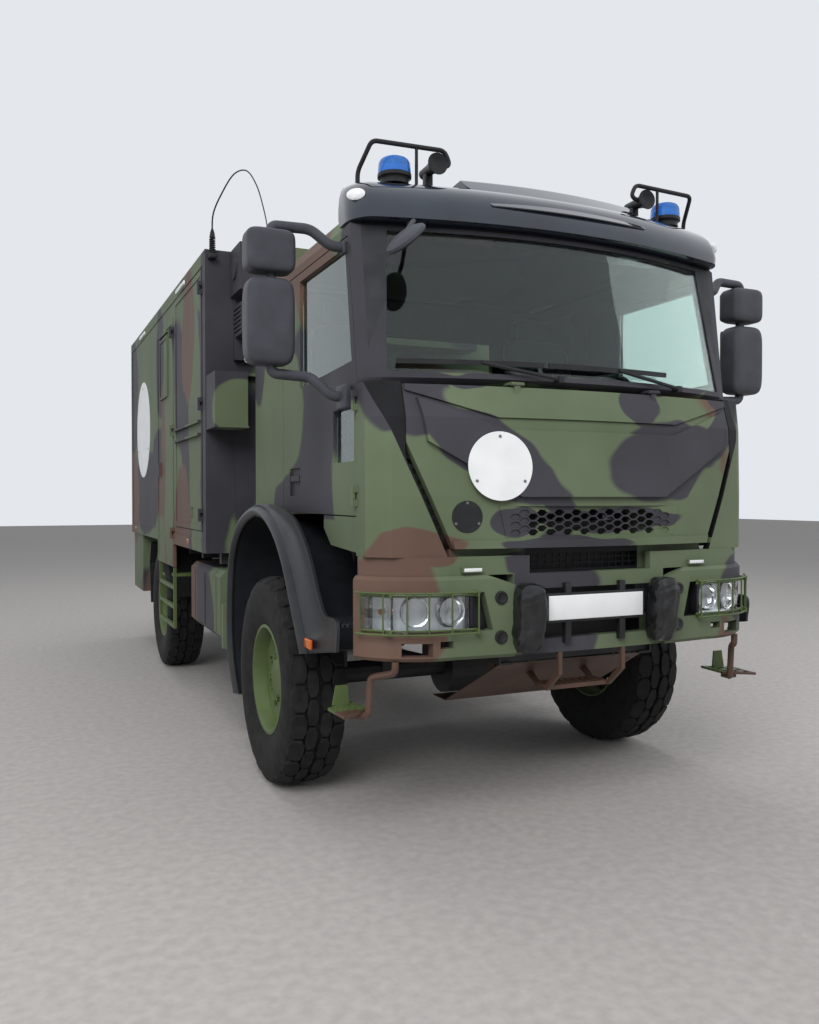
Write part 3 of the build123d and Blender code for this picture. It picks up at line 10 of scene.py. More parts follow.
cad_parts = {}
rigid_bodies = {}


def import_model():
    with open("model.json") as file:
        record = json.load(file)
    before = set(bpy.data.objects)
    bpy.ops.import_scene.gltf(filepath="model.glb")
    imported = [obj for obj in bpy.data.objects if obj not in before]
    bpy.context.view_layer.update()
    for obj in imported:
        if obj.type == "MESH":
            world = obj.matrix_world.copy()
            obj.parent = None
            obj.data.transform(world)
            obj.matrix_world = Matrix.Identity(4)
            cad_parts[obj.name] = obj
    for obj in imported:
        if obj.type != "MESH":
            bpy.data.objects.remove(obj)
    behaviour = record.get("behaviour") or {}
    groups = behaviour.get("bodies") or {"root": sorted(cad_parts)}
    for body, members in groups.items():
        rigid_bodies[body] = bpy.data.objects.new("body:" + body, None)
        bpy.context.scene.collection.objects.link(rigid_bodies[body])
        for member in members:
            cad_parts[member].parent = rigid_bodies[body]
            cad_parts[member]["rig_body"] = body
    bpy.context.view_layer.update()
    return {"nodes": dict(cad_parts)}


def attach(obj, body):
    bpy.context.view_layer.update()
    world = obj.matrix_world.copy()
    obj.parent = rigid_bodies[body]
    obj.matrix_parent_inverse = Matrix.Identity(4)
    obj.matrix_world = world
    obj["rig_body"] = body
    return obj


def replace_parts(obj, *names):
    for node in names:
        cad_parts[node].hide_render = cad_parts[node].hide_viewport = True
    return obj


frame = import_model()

frameNodes = frame["nodes"]


# Node and material helpers

def linearColour(hexCode):
    # each sRGB channel from 00 to ff turned to the linear value that a socket takes
    channels = [int(hexCode[i:i + 2], 16) / 255 for i in (1, 3, 5)]
    linear = [c / 12.92 if c <= 0.04045 else ((c + 0.055) / 1.055) ** 2.4 for c in channels]
    return (*linear, 1.0)


def addNode(tree, kind, settings=None, links=None):
    # one node with its settings; a link is a socket or a node (its first output), any other value is set
    node = tree.nodes.new(kind)
    for key, value in (settings or {}).items():
        setattr(node, key, value)
    for key, value in (links or {}).items():
        if isinstance(value, bpy.types.Node):
            value = value.outputs[0]
        if isinstance(value, bpy.types.NodeSocket):
            tree.links.new(value, node.inputs[key])
        else:
            node.inputs[key].default_value = value
    return node


def startMaterial(name, surface):
    # a Principled surface with fixed sockets, its tree and the frame's coordinates
    material = bpy.data.materials.new(name)
    material.use_nodes = True
    tree = material.node_tree
    tree.nodes.clear()
    shader = addNode(tree, "ShaderNodeBsdfPrincipled", links=surface)
    addNode(tree, "ShaderNodeOutputMaterial", links={"Surface": shader})
    place = addNode(tree, "ShaderNodeTexCoord").outputs["Object"]
    return material, tree, shader, place


def addGrain(tree, shader, place, size, strength, depth):
    # fine bumps of one size in metres, strength from 0 to 1, depth in metres
    noise = addNode(tree, "ShaderNodeTexNoise", links={"Vector": place, "Scale": 1 / size, "Detail": 3.0})
    bump = addNode(tree, "ShaderNodeBump", links={"Strength": strength, "Distance": depth, "Height": noise})
    tree.links.new(bump.outputs["Normal"], shader.inputs["Normal"])


def mottle(tree, place, size, low, high):
    # two colours mixed by soft noise of one size in metres
    noise = addNode(tree, "ShaderNodeTexNoise", links={"Vector": place, "Scale": 1 / size, "Detail": 5.0})
    ramp = addNode(tree, "ShaderNodeValToRGB", links={"Fac": noise})
    for stop, position, tone in zip(ramp.color_ramp.elements, (0.35, 0.68), (low, high)):
        stop.position = position
        stop.color = linearColour(tone)
    return ramp.outputs["Color"]


# Paint

paintTones = {
    "green": ("#56614a", "#616c55"),
    "grey": ("#353439", "#3f3e44"),
    "brown": ("#5a463c", "#665146"),
}

# each patch: tone, middle x, y, z, half sizes x, y, z, turn in degrees in its plane; later ones lie on top
frontPatches = [
    ("green", 0.0, -3.51, 1.65, 1.02, 0.25, 0.95, 0),
    ("green", -1.00, -3.35, 1.70, 0.22, 0.30, 0.34, 0),
    ("grey", -1.00, -3.38, 2.02, 0.36, 0.32, 0.19, 12),
    ("grey", -0.60, -3.47, 1.81, 0.47, 0.20, 0.145, 36),
    ("grey", -0.28, -3.48, 1.60, 0.22, 0.20, 0.08, 35),
    ("green", -0.30, -3.40, 1.99, 0.44, 0.20, 0.085, 3),
    ("green", -0.10, -3.48, 1.80, 0.19, 0.20, 0.26, -18),
    ("grey", 0.44, -3.47, 1.73, 0.41, 0.20, 0.19, -10),
    ("grey", 0.82, -3.45, 1.86, 0.24, 0.20, 0.11, -35),
    ("grey", 0.29, -3.40, 1.99, 0.135, 0.20, 0.11, 0),
    ("grey", 1.00, -3.38, 2.03, 0.24, 0.25, 0.09, 0),
    ("green", 0.72, -3.46, 1.53, 0.22, 0.20, 0.15, -42),
    ("grey", -0.42, -3.47, 1.45, 0.12, 0.20, 0.07, 0),
    ("grey", 0.10, -3.45, 1.45, 0.42, 0.20, 0.055, 0),
    ("grey", -0.13, -3.48, 1.345, 0.36, 0.20, 0.036, 0),
    ("brown", -0.92, -3.35, 1.335, 0.30, 0.30, 0.085, 0),
    ("grey", -0.20, -3.38, 1.26, 0.34, 0.20, 0.055, 0),
    ("brown", -1.03, -3.34, 1.04, 0.31, 0.45, 0.30, 0),
    ("green", -0.57, -3.46, 1.04, 0.18, 0.30, 0.36, 0),
    ("grey", -0.19, -3.46, 1.06, 0.23, 0.30, 0.36, 0),
    ("green", 0.42, -3.46, 1.04, 0.42, 0.30, 0.36, 0),
    ("grey", 1.02, -3.34, 1.10, 0.24, 0.40, 0.17, 0),
    ("grey", -1.00, -3.14, 2.45, 0.13, 0.30, 0.46, 0),
    ("grey", 1.00, -3.14, 2.45, 0.13, 0.30, 0.46, 0),
    ("grey", 0.0, -3.30, 2.80, 1.30, 0.25, 0.075, 0),
    ("grey", 0.0, -3.36, 2.086, 1.20, 0.16, 0.034, 0),
]
sidePatches = [
    ("grey", -1.07, -2.51, 1.90, 0.20, 0.55, 0.62, 0),
    ("green", -1.07, -2.01, 2.02, 0.20, 0.34, 0.40, 15),
    ("green", -1.07, -1.51, 1.75, 0.20, 0.36, 0.50, 0),
    ("brown", -1.07, -1.81, 2.85, 0.20, 0.60, 0.22, 0),
    ("grey", -1.07, -1.44, 2.50, 0.20, 0.16, 0.40, 0),
    ("green", -1.07, -3.11, 1.62, 0.20, 0.30, 0.34, 0),
    ("green", -1.10, -2.81, 1.37, 0.20, 0.42, 0.09, 8),
    ("grey", -1.07, -2.16, 1.50, 0.20, 0.40, 0.18, 0),
]
boxPatches = [
    ("grey", -1.22, -0.72, 2.20, 0.20, 0.20, 1.20, 0),
    ("grey", -1.10, -1.00, 2.35, 0.40, 0.40, 1.20, 0),
    ("green", -1.10, -1.05, 2.14, 0.16, 0.30, 0.19, 0),
    ("green", -0.60, -1.00, 2.50, 0.40, 0.40, 0.60, 0),
    ("green", -1.25, -0.34, 2.05, 0.20, 0.24, 0.95, 0),
    ("brown", -1.25, -0.08, 2.75, 0.20, 0.25, 0.52, 8),
    ("grey", -1.25, 0.06, 1.95, 0.20, 0.16, 0.44, -12),
    ("brown", -1.25, 0.18, 1.36, 0.20, 0.34, 0.46, 0),
    ("green", -1.25, 0.86, 2.05, 0.20, 0.34, 1.10, 0),
    ("grey", -1.25, 1.32, 2.75, 0.20, 0.26, 0.50, 0),
    ("brown", -1.25, 1.16, 1.95, 0.20, 0.12, 0.60, 0),
    ("grey", -1.25, 2.29, 1.60, 0.20, 0.90, 0.42, 0),
    ("green", -1.25, 2.54, 2.80, 0.20, 0.90, 0.50, 0),
    ("brown", -1.25, 3.29, 1.55, 0.20, 0.45, 0.50, 0),
    ("grey", -1.25, 3.29, 2.75, 0.20, 0.40, 0.55, 0),
]


camouflage = {
    "edgeSize": 0.22, "edgeSway": 0.10,      # m, the waves of a hand-sprayed edge
    "softness": 0.05,                        # overspray, as a share of a patch
    "noiseScale": 0.85, "noiseEdge": 0.012,  # patches where none is placed
    "noiseTones": (("grey", 0.55, 3.1), ("brown", 0.61, 7.7)),     # tone, where it starts, shift of the noise
}


def camouflagePaint(name, patches, facing):
    # matt infrared-absorbing paint, sprayed: no shine, soft overspray at each edge, the tones a little uneven
    material, tree, shader, place = startMaterial(name, {"Roughness": 0.62, "Specular IOR Level": 0.35})
    wave = addNode(tree, "ShaderNodeTexNoise", links={
        "Vector": place, "Scale": 1 / camouflage["edgeSize"], "Detail": 1.0})
    centred = addNode(tree, "ShaderNodeVectorMath", {"operation": "SUBTRACT"},
                      {0: wave.outputs["Color"], 1: (0.5, 0.5, 0.5)})
    sway = addNode(tree, "ShaderNodeVectorMath", {"operation": "SCALE"},
                   {0: centred, "Scale": camouflage["edgeSway"]})
    swayed = addNode(tree, "ShaderNodeVectorMath", {"operation": "ADD"}, {0: place, 1: sway})
    tones = {tone: mottle(tree, place, 0.5, *pair) for tone, pair in paintTones.items()}
    colour = tones["green"]
    fades = []
    for tone, start, shift in camouflage["noiseTones"]:
        moved = addNode(tree, "ShaderNodeVectorMath", {"operation": "ADD"}, {0: place, 1: [shift] * 3})
        broad = addNode(tree, "ShaderNodeTexNoise", links={
            "Vector": moved, "Scale": camouflage["noiseScale"], "Detail": 0.6})
        soft = camouflage["noiseEdge"]
        fades.append((tone, broad, start - soft, start + soft))
    for tone, x, y, z, sizeX, sizeY, sizeZ, turn in patches:
        angle = math.radians(turn)
        spot = addNode(tree, "ShaderNodeMapping", {"vector_type": "TEXTURE"}, {
            "Vector": swayed, "Location": (x, y, z), "Scale": (sizeX, sizeY, sizeZ),
            "Rotation": (0, angle, 0) if facing == "front" else (angle, 0, 0)})
        reach = addNode(tree, "ShaderNodeVectorMath", {"operation": "LENGTH"}, {0: spot}).outputs["Value"]
        fades.append((tone, reach, 0.99 + camouflage["softness"], 0.99 - camouflage["softness"]))
    for tone, value, start, end in fades:
        edge = addNode(tree, "ShaderNodeMapRange", {"interpolation_type": "SMOOTHSTEP"},
                       {"Value": value, "From Min": start, "From Max": end})
        colour = addNode(tree, "ShaderNodeMix", {"data_type": "RGBA"},
                         {0: edge, 6: colour, 7: tones[tone]}).outputs[2]
    tree.links.new(colour, shader.inputs["Base Color"])
    addGrain(tree, shader, place, 0.002, 0.25, 0.0004)
    return material


def coverMasked(material, place, inside, low, high):
    # a second finish on the part of a piece where a mask is 1
    tree = material.node_tree
    shader = next(node for node in tree.nodes if node.type == "BSDF_PRINCIPLED")
    before = shader.inputs["Base Color"].links[0].from_socket
    colour = addNode(tree, "ShaderNodeMix", {"data_type": "RGBA"},
                     {0: inside, 6: before, 7: mottle(tree, place, 0.1, low, high)})
    tree.links.new(colour.outputs[2], shader.inputs["Base Color"])
    return material


def coverWhere(material, plane, limit, low, high):
    # the mask is 1 where plane . (|x|, |y|, |z|) is under a limit
    tree = material.node_tree
    place = addNode(tree, "ShaderNodeTexCoord").outputs["Object"]
    folded = addNode(tree, "ShaderNodeVectorMath", {"operation": "ABSOLUTE"}, {0: place})
    height = addNode(tree, "ShaderNodeVectorMath", {"operation": "DOT_PRODUCT"},
                     {0: folded, 1: plane}).outputs["Value"]
    inside = addNode(tree, "ShaderNodeMath", {"operation": "LESS_THAN"}, {0: height, 1: limit})
    return coverMasked(material, place, inside, low, high)


def coverInside(material, corner, opposite, low, high):
    # the mask is 1 inside a box, where max(|x|, |y|, |z|) is under 1 in the box's own half sizes
    tree = material.node_tree
    place = addNode(tree, "ShaderNodeTexCoord").outputs["Object"]
    moved = addNode(tree, "ShaderNodeMapping", {"vector_type": "TEXTURE"}, {
        "Vector": place, "Location": [(a + b) / 2 for a, b in zip(corner, opposite)],
        "Scale": [(b - a) / 2 for a, b in zip(corner, opposite)]})
    folded = addNode(tree, "ShaderNodeVectorMath", {"operation": "ABSOLUTE"}, {0: moved})
    x, y, z = addNode(tree, "ShaderNodeSeparateXYZ", links={"Vector": folded}).outputs
    most = addNode(tree, "ShaderNodeMath", {"operation": "MAXIMUM"}, {0: x, 1: y})
    most = addNode(tree, "ShaderNodeMath", {"operation": "MAXIMUM"}, {0: most, 1: z})
    inside = addNode(tree, "ShaderNodeMath", {"operation": "LESS_THAN"}, {0: most, 1: 1.0})
    return coverMasked(material, place, inside, low, high)


def plainMaterial(name, surface, size, low, high, grain=None):
    # a colour between two tones, in patches of one size in metres; grain is the bumps' size, strength, depth
    material, tree, shader, place = startMaterial(name, surface)
    tree.links.new(mottle(tree, place, size, low, high), shader.inputs["Base Color"])
    if grain:
        addGrain(tree, shader, place, *grain)
    return material


def onePaint(name, low, high, roughness, grain=0.002):
    # sprayed paint in one colour, a little uneven, over fine orange peel
    return plainMaterial(name, {"Roughness": roughness}, 0.15, low, high, (grain, 0.2, 0.0003))


def mouldedPlastic(name, low, high, roughness, grain):
    # injection-moulded plastic: grain from the etched mould, a soft shine
    return plainMaterial(name, {"Roughness": roughness, "IOR": 1.49}, 0.08, low, high,
                         (grain, 0.35, 0.0006))


def lensPlastic(name, colour, roughness, clear):
    # dyed polycarbonate, moulded and clear enough to see depth in it
    return plainMaterial(name, {"Roughness": roughness, "IOR": 1.58, "Transmission Weight": clear}, 0.02,
                         colour, colour)


def windowGlass(name, tint):
    # clear and smooth, with the tint of its own edge
    return startMaterial(name, {"Base Color": linearColour(tint), "Roughness": 0.0, "IOR": 1.5,
                                "Transmission Weight": 1.0})[0]


def bareMetal(name, tint, roughness):
    # a metal as machined or plated, with faint smears
    return plainMaterial(name, {"Metallic": 1.0, "Roughness": roughness}, 0.05, tint, tint,
                         (0.004, 0.1, 0.0003))


def wovenCloth():
    # flat-woven polyester seat cloth, dark grey; threads drawn 1.5 mm apart, coarser than real, so they show
    material, tree, shader, place = startMaterial("wovenSeatCloth", {"Roughness": 0.9, "Sheen Weight": 0.3})
    threads = addNode(tree, "ShaderNodeTexWave", {"wave_type": "BANDS", "bands_direction": "DIAGONAL"},
                      {"Vector": place, "Scale": 1 / 0.0015 / 6.283, "Distortion": 1.0})
    tree.links.new(mottle(tree, place, 0.04, "#26282b", "#33363a"), shader.inputs["Base Color"])
    bump = addNode(tree, "ShaderNodeBump", links={
        "Strength": 0.4, "Distance": 0.0008, "Height": threads.outputs["Fac"]})
    tree.links.new(bump.outputs["Normal"], shader.inputs["Normal"])
    return material


print("scene: materials")
cabPatches = frontPatches + sidePatches
# near black tones: the grille's real black wire mesh, and painted shade in the corner slots
meshBlackAndSlotShadeTones = ("#131315", "#1a1a1d")
greenTones, brownTones = ("#46542f", "#52613a"), ("#47342b", "#574136")
cabPaint = camouflagePaint("cabCamouflagePaint", cabPatches, "front")
boxPaint = camouflagePaint("boxCamouflagePaint", boxPatches, "side")
# the cab's inside is lined in grey, the wire mesh is black, the steps' hoops brown; the corner slots, grey
# paint inside, are painted near black as painted shade of their recess
shellPaint = coverInside(camouflagePaint("cabShellCamouflagePaint", cabPatches, "front"),
                         (-1.003, -3.17, 1.532), (1.003, -1.39, 2.862), "#2c2d30", "#36373a")
# painted shade: where |x| - 0.4348 |z| is under 0.163, the slot of each corner panel is painted near black
cheekPaintWithSlotShade = coverWhere(camouflagePaint("cheekCamouflagePaintWithSlotShade", cabPatches, "front"),
                        (1.0, 0.0, -0.4348), 0.1630, *meshBlackAndSlotShadeTones)
grillePaint = coverWhere(camouflagePaint("grilleCamouflagePaint", frontPatches, "front"),
                         (1.0, 0.0, 0.0), 0.3165, *meshBlackAndSlotShadeTones)
stepPaint = coverWhere(onePaint("stepAlkydPaint", *greenTones, 0.5), (0.0, -1.0, -0.02), -3.197, *brownTones)
greenPaint = onePaint("greenAlkydPaint", *greenTones, 0.5)
brownPaint = onePaint("brownAlkydPaint", *brownTones, 0.42)
chassisPaint = onePaint("blackChassisPaint", "#1c1c1e", "#29282a", 0.55)
whiteEnamel = onePaint("whiteEnamel", "#d8dadb", "#e3e4e4", 0.3)
engineIron = onePaint("castIron", "#2a2b2c", "#3a3a3b", 0.7, 0.005)        # cast in sand: rough and dark
fenderPlastic = mouldedPlastic("blackFenderPlastic", "#191b1e", "#202226", 0.36, 0.0015)
mirrorPlastic = mouldedPlastic("grainedMirrorPlastic", "#35363c", "#3e3f46", 0.5, 0.002)
trimPlastic = mouldedPlastic("blackTrimPlastic", "#141416", "#1e1e21", 0.45, 0.002)
dashPlastic = mouldedPlastic("grainedDashPlastic", "#1b1c1e", "#26272a", 0.6, 0.003)
bluePlastic = mouldedPlastic("blueCapPlastic", "#1c4f9c", "#235bb0", 0.35, 0.001)
paneGlass = windowGlass("laminatedGlass", "#cfe3dc")                       # float glass, faintly green
lampGlass = windowGlass("lampPolycarbonate", "#f4f6f6")
chromePlate = bareMetal("chromePlate", "#e4e6e8", 0.08)
bareSteel = bareMetal("forgedSteel", "#8d8d90", 0.45)
satinMetal = bareMetal("metalisedPlastic", "#b9bcc0", 0.32)
blueLens = lensPlastic("bluePolycarbonate", "#2a7ad6", 0.05, 0.5)
redLens = lensPlastic("redPolycarbonate", "#a81410", 0.08, 0.35)
amberLens = lensPlastic("amberPolycarbonate", "#e0701a", 0.08, 0.35)
whiteLens = lensPlastic("opalPolycarbonate", "#e8eaec", 0.12, 0.15)
# vulcanised carbon-black rubber: dull black, grey with road dust
rubber = plainMaterial("vulcanisedRubber", {"Roughness": 0.78, "Specular IOR Level": 0.3}, 0.06,
                       "#151516", "#242322", (0.003, 0.4, 0.001))
# tinted acrylic, thermoformed and polished: near black blue with sharp reflections
visorAcrylic = plainMaterial("smokedAcrylic", {"Roughness": 0.06, "IOR": 1.49, "Coat Weight": 1.0,
                                               "Coat Roughness": 0.03}, 0.3, "#131a26", "#1c2634")
# black coated fabric: soft wrinkles and a wet shine on the folds
vinyl = plainMaterial("coatedVinyl", {"Roughness": 0.24, "IOR": 1.5}, 0.05, "#161617", "#222225",
                      (0.03, 0.5, 0.006))
seatCloth = wovenCloth()

nodeFinishes = {
    cabPaint: "cab_door_left cab_door_right front_bumper front_flap",
    boxPaint: "box_front_units box_shell box_side_door fuel_tank locker_door rear_door_left rear_door_right",
    greenPaint: "box_ladder lamp_guards rim_front_left rim_front_right rim_rear_left rim_rear_right",
    chassisPaint: "battery_box chassis_frame front_axle knuckle_left knuckle_right radiator rear_axle",
    trimPlastic: "antenna rear_fenders roof_fittings wipers",
    mirrorPlastic: "kerb_mirror mirrors_left mirrors_right",
    paneGlass: "door_glass_left door_glass_right windscreen",
    rubber: "tyre_front_left tyre_front_right tyre_rear_left tyre_rear_right",
    shellPaint: "cab_shell", cheekPaintWithSlotShade: "corner_panels", grillePaint: "lower_grille",
    stepPaint: "entry_steps", blueLens: "beacons", redLens: "tail_lamps", lampGlass: "headlamps",
    visorAcrylic: "roof_visor",
    dashPlastic: "dashboard", fenderPlastic: "front_fenders", vinyl: "hook_covers", seatCloth: "seats",
    engineIron: "powertrain", brownPaint: "skid_plate", bareSteel: "tie_rod",
}
for finish, names in nodeFinishes.items():
    for name in names.split():
        node = frameNodes[name]
        for slot in node.material_slots:
            slot.material = finish
        if not node.material_slots:
            node.data.materials.append(finish)


# Shapes worked out with numpy

originY = -2.10              # the front axle's y in the frame, m
wheelPlaces = {"front_left": (1.055, originY), "front_right": (-1.055, originY),
               "rear_left": (1.055, originY + 3.69), "rear_right": (-1.055, originY + 3.69)}


def axleFrame(points):
    # points measured from the front axle's middle, moved to the frame
    return np.array(points, float) + np.array([0, originY, 0])


def mirrored(grids):
    # the same grids and their images across the centre line
    return list(grids) + [grid * np.array([-1, 1, 1]) for grid in grids]


def gridFaces(rows, columns):
    # quads between neighbouring rows and columns, with the last column joined to the first
    row, column = np.meshgrid(np.arange(rows - 1), np.arange(columns), indexing="ij")
    right = (column + 1) % columns
    corners = (row * columns + column, row * columns + right, (row + 1) * columns + right,
               (row + 1) * columns + column)
    return np.stack(corners, -1).reshape(-1, 4)


def buildPiece(name, grids, material, body="chassis", sharp=38):
    # grids of (rows, columns, 3) points become one mesh, with doubled points merged and faces turned outwards
    points, faces, start = [], [], 0
    for grid in grids:
        rows, columns = grid.shape[:2]
        points.append(grid.reshape(-1, 3))
        faces.append(gridFaces(rows, columns) + start)
        start += rows * columns
    mesh = bpy.data.meshes.new(name)
    mesh.from_pydata(np.concatenate(points).tolist(), [], np.concatenate(faces).tolist())
    form = bmesh.new()
    form.from_mesh(mesh)
    bmesh.ops.remove_doubles(form, verts=form.verts, dist=1e-6)
    bmesh.ops.dissolve_degenerate(form, edges=form.edges, dist=1e-7)
    bmesh.ops.recalc_face_normals(form, faces=form.faces)
    form.to_mesh(mesh)
    form.free()
    mesh.shade_smooth()
    mesh.set_sharp_from_angle(angle=math.radians(sharp))
    mesh.materials.append(material)
    piece = bpy.data.objects.new(name, mesh)
    bpy.context.collection.objects.link(piece)
    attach(piece, body)
    return piece


def closeEnds(grid):
    # the middle of the first and of the last row close the surface
    first = np.broadcast_to(grid[:1].mean(axis=1, keepdims=True), grid[:1].shape)
    last = np.broadcast_to(grid[-1:].mean(axis=1, keepdims=True), grid[-1:].shape)
    return np.concatenate([first, grid, last])


def roundedBox(low, high, radius, steps=4):
    # corners from the axle; each eighth of a ball moves to its corner: p = sign (half - r) + r n(u, v)
    low, high = axleFrame(low), axleFrame(high)
    quarter = np.linspace(0, np.pi / 2, steps)
    turn = np.concatenate([quarter + k * np.pi / 2 for k in range(4)])
    signX = np.repeat([1, -1, -1, 1], steps)
    signY = np.repeat([1, 1, -1, -1], steps)
    lift = np.concatenate([quarter - np.pi / 2, quarter])
    signZ = np.repeat([-1, 1], steps)
    half = (high - low) / 2
    inner = np.maximum(half - radius, 0)
    edge = np.minimum(radius, half)
    x = signX * inner[0] + edge[0] * np.cos(lift)[:, None] * np.cos(turn)
    y = signY * inner[1] + edge[1] * np.cos(lift)[:, None] * np.sin(turn)
    z = (signZ * inner[2] + edge[2] * np.sin(lift))[:, None] + 0 * x
    return closeEnds(np.stack([x, y, z], -1) + (low + high) / 2)


def lathe(profile, centre, axis, steps=48, closed=False):
    # a profile of (along, radius) turned about an axis through the centre
    profile = np.array(profile + profile[:1] if closed else profile, float)
    angle = np.arange(steps) * 2 * np.pi / steps
    along = np.repeat(profile[:, :1], steps, 1)
    first = profile[:, 1:] * np.cos(angle)
    second = profile[:, 1:] * np.sin(angle)
    order = {"x": (along, first, second), "y": (second, along, first), "z": (first, second, along)}[axis]
    return np.stack(order, -1) + np.array(centre)


def bentLine(points, bend, steps=6):
    # straight runs with each corner eased by p = c + b (1 - t)^2 + f t^2
    points = np.array(points, float)
    back = points[:-2] - points[1:-1]
    ahead = points[2:] - points[1:-1]
    back *= bend / np.linalg.norm(back, axis=1, keepdims=True)
    ahead *= bend / np.linalg.norm(ahead, axis=1, keepdims=True)
    t = np.linspace(0, 1, steps)[None, :, None]
    eased = points[1:-1, None] + back[:, None] * (1 - t) ** 2 + ahead[:, None] * t ** 2
    return np.concatenate([points[:1], eased.reshape(-1, 3), points[-1:]])


def smoothLine(points, steps=10):
    # a Catmull-Rom curve through the points
    points = np.array(points, float)
    full = np.concatenate([2 * points[:1] - points[1:2], points, 2 * points[-1:] - points[-2:-1]])
    t = np.linspace(0, 1, steps, endpoint=False)[None, :, None]
    a, b, c, d = full[:-3, None], full[1:-2, None], full[2:-1, None], full[3:, None]
    curve = 0.5 * (2 * b + (c - a) * t + (2 * a - 5 * b + 4 * c - d) * t ** 2
                   + (3 * b - a - 3 * c + d) * t ** 3)
    return np.concatenate([curve.reshape(-1, points.shape[1]), points[-1:]])


def tubeAlong(line, radius, sides=14, reference=(0.31, 0.52, 0.79)):
    # a ring of points square to the line's direction at each of its points
    direction = np.gradient(line, axis=0)
    direction /= np.linalg.norm(direction, axis=1, keepdims=True)
    side = np.cross(direction, reference)
    side /= np.linalg.norm(side, axis=1, keepdims=True)
    other = np.cross(direction, side)
    angle = np.arange(sides) * 2 * np.pi / sides
    radius = np.broadcast_to(np.asarray(radius, float), (len(line),))[:, None, None]
    ring = side[:, None] * np.cos(angle)[None, :, None] + other[:, None] * np.sin(angle)[None, :, None]
    return closeEnds(line[:, None] + radius * ring)


def surfaceAt(nodeName, start, direction):
    # the first point of a CAD node along a ray, with the face's normal turned against the ray
    mesh = frameNodes[nodeName].data
    tree = BVHTree.FromPolygons([v.co for v in mesh.vertices], [tuple(p.vertices) for p in mesh.polygons])
    point, normal, _, _ = tree.ray_cast(Vector(start), Vector(direction).normalized())
    if point is None:
        raise RuntimeError("no surface of " + nodeName + " at " + str(start))
    return point, normal if normal.dot(Vector(direction)) < 0 else -normal


def turnTo(grid, point, normal):
    # a grid made about the origin, its z axis turned to a surface's normal and set on its point
    turn = np.array(Vector(normal).to_track_quat("Z", "Y").to_matrix())
    return grid @ turn.T + np.array(point)


# Wheels

print("scene: wheels")
wheel = {
    "radius": 0.560, "treadRadius": 0.541, "pitches": 24, "groove": 0.011,
    # half of the carcass's section, from the bead to the tread: distance from the middle, radius
    "section": [(0.120, 0.2845), (0.127, 0.300), (0.140, 0.335), (0.153, 0.380), (0.158, 0.425),
                (0.157, 0.470), (0.151, 0.505), (0.141, 0.528), (0.122, 0.538), (0.060, 0.541)],
    # one tread block: a clipped square, and for each row its middle, half width and shift in pitches
    "block": [(-0.55, -1), (0.55, -1), (1, -0.5), (1, 0.5), (0.55, 1), (-0.55, 1), (-1, 0.5), (-1, -0.5)],
    "rows": [(-0.104, 0.040, 0.0), (-0.036, 0.030, 0.5), (0.036, 0.030, 0.0), (0.104, 0.040, 0.5)],
    # well, flange and hub of the rim: distance from the middle, radius
    "well": [(-0.132, 0.2838), (0.126, 0.2838), (0.126, 0.294), (0.129, 0.298), (0.132, 0.294),
             (0.132, 0.281), (0.118, 0.272), (0.060, 0.262), (0.048, 0.258), (0.034, 0.256), (0.030, 0.262),
             (-0.132, 0.272)],
    "hub": [(0.022, 0.0), (0.022, 0.150), (0.040, 0.150), (0.044, 0.120), (0.050, 0.112), (0.066, 0.106),
            (0.074, 0.098), (0.078, 0.086), (0.078, 0.0)],
    "holes": 10, "holeCircle": 0.205, "holeHalf": (0.024, 0.026), "discReach": (0.058, 0.054),
    "discFace": 0.041, "discDish": 0.016, "discThickness": 0.014,
    "nuts": 10, "nutCircle": 0.135, "nutSeat": 0.043,
    "nut": [(0.0, 0.0155), (0.018, 0.0155), (0.021, 0.012), (0.021, 0.007), (0.031, 0.007), (0.033, 0.004)],
}


def tyreGrids(centre):
    # the carcass turns a rounded section about the axle; each tread block is an eight-cornered outline
    # laid round the tread at its own angle: x along the axle, s round it, h outwards
    half = wheel["section"]
    section = [(-x, radius) for x, radius in half] + half[::-1]
    carcass = lathe(section, (0, 0, 0), "x", 96, closed=True)
    halfLength = (2 * np.pi * wheel["radius"] / wheel["pitches"] - wheel["groove"]) / 2
    tread = wheel["radius"] - wheel["treadRadius"]
    corner = np.array(wheel["block"])
    grids = [carcass]
    for middle, halfWidth, shift in wheel["rows"]:
        fall = 9 if abs(middle) > 0.08 else 0         # the outer rows drop towards the shoulder
        angle = (np.arange(wheel["pitches"]) + shift) * 2 * np.pi / wheel["pitches"]
        rows = []
        for height, share in ((-0.012, 1.04), (tread - 0.004, 1.0), (tread, 0.9)):
            x = middle + corner[:, 0] * halfWidth * share
            drop = np.maximum(np.abs(x) - 0.09, 0) ** 2 * fall
            along = corner[:, 1] * halfLength * share
            rows.append(np.stack([x, along, wheel["treadRadius"] + height - drop], -1))
        shape = np.stack(rows)[None]
        turn = angle[:, None, None] + shape[..., 1] / wheel["radius"]
        radius = shape[..., 2] + 0 * turn
        block = np.stack([shape[..., 0] + 0 * turn, radius * np.sin(turn), radius * np.cos(turn)], -1)
        grids += [closeEnds(one) for one in block]
    return [grid + np.array(centre) for grid in grids]


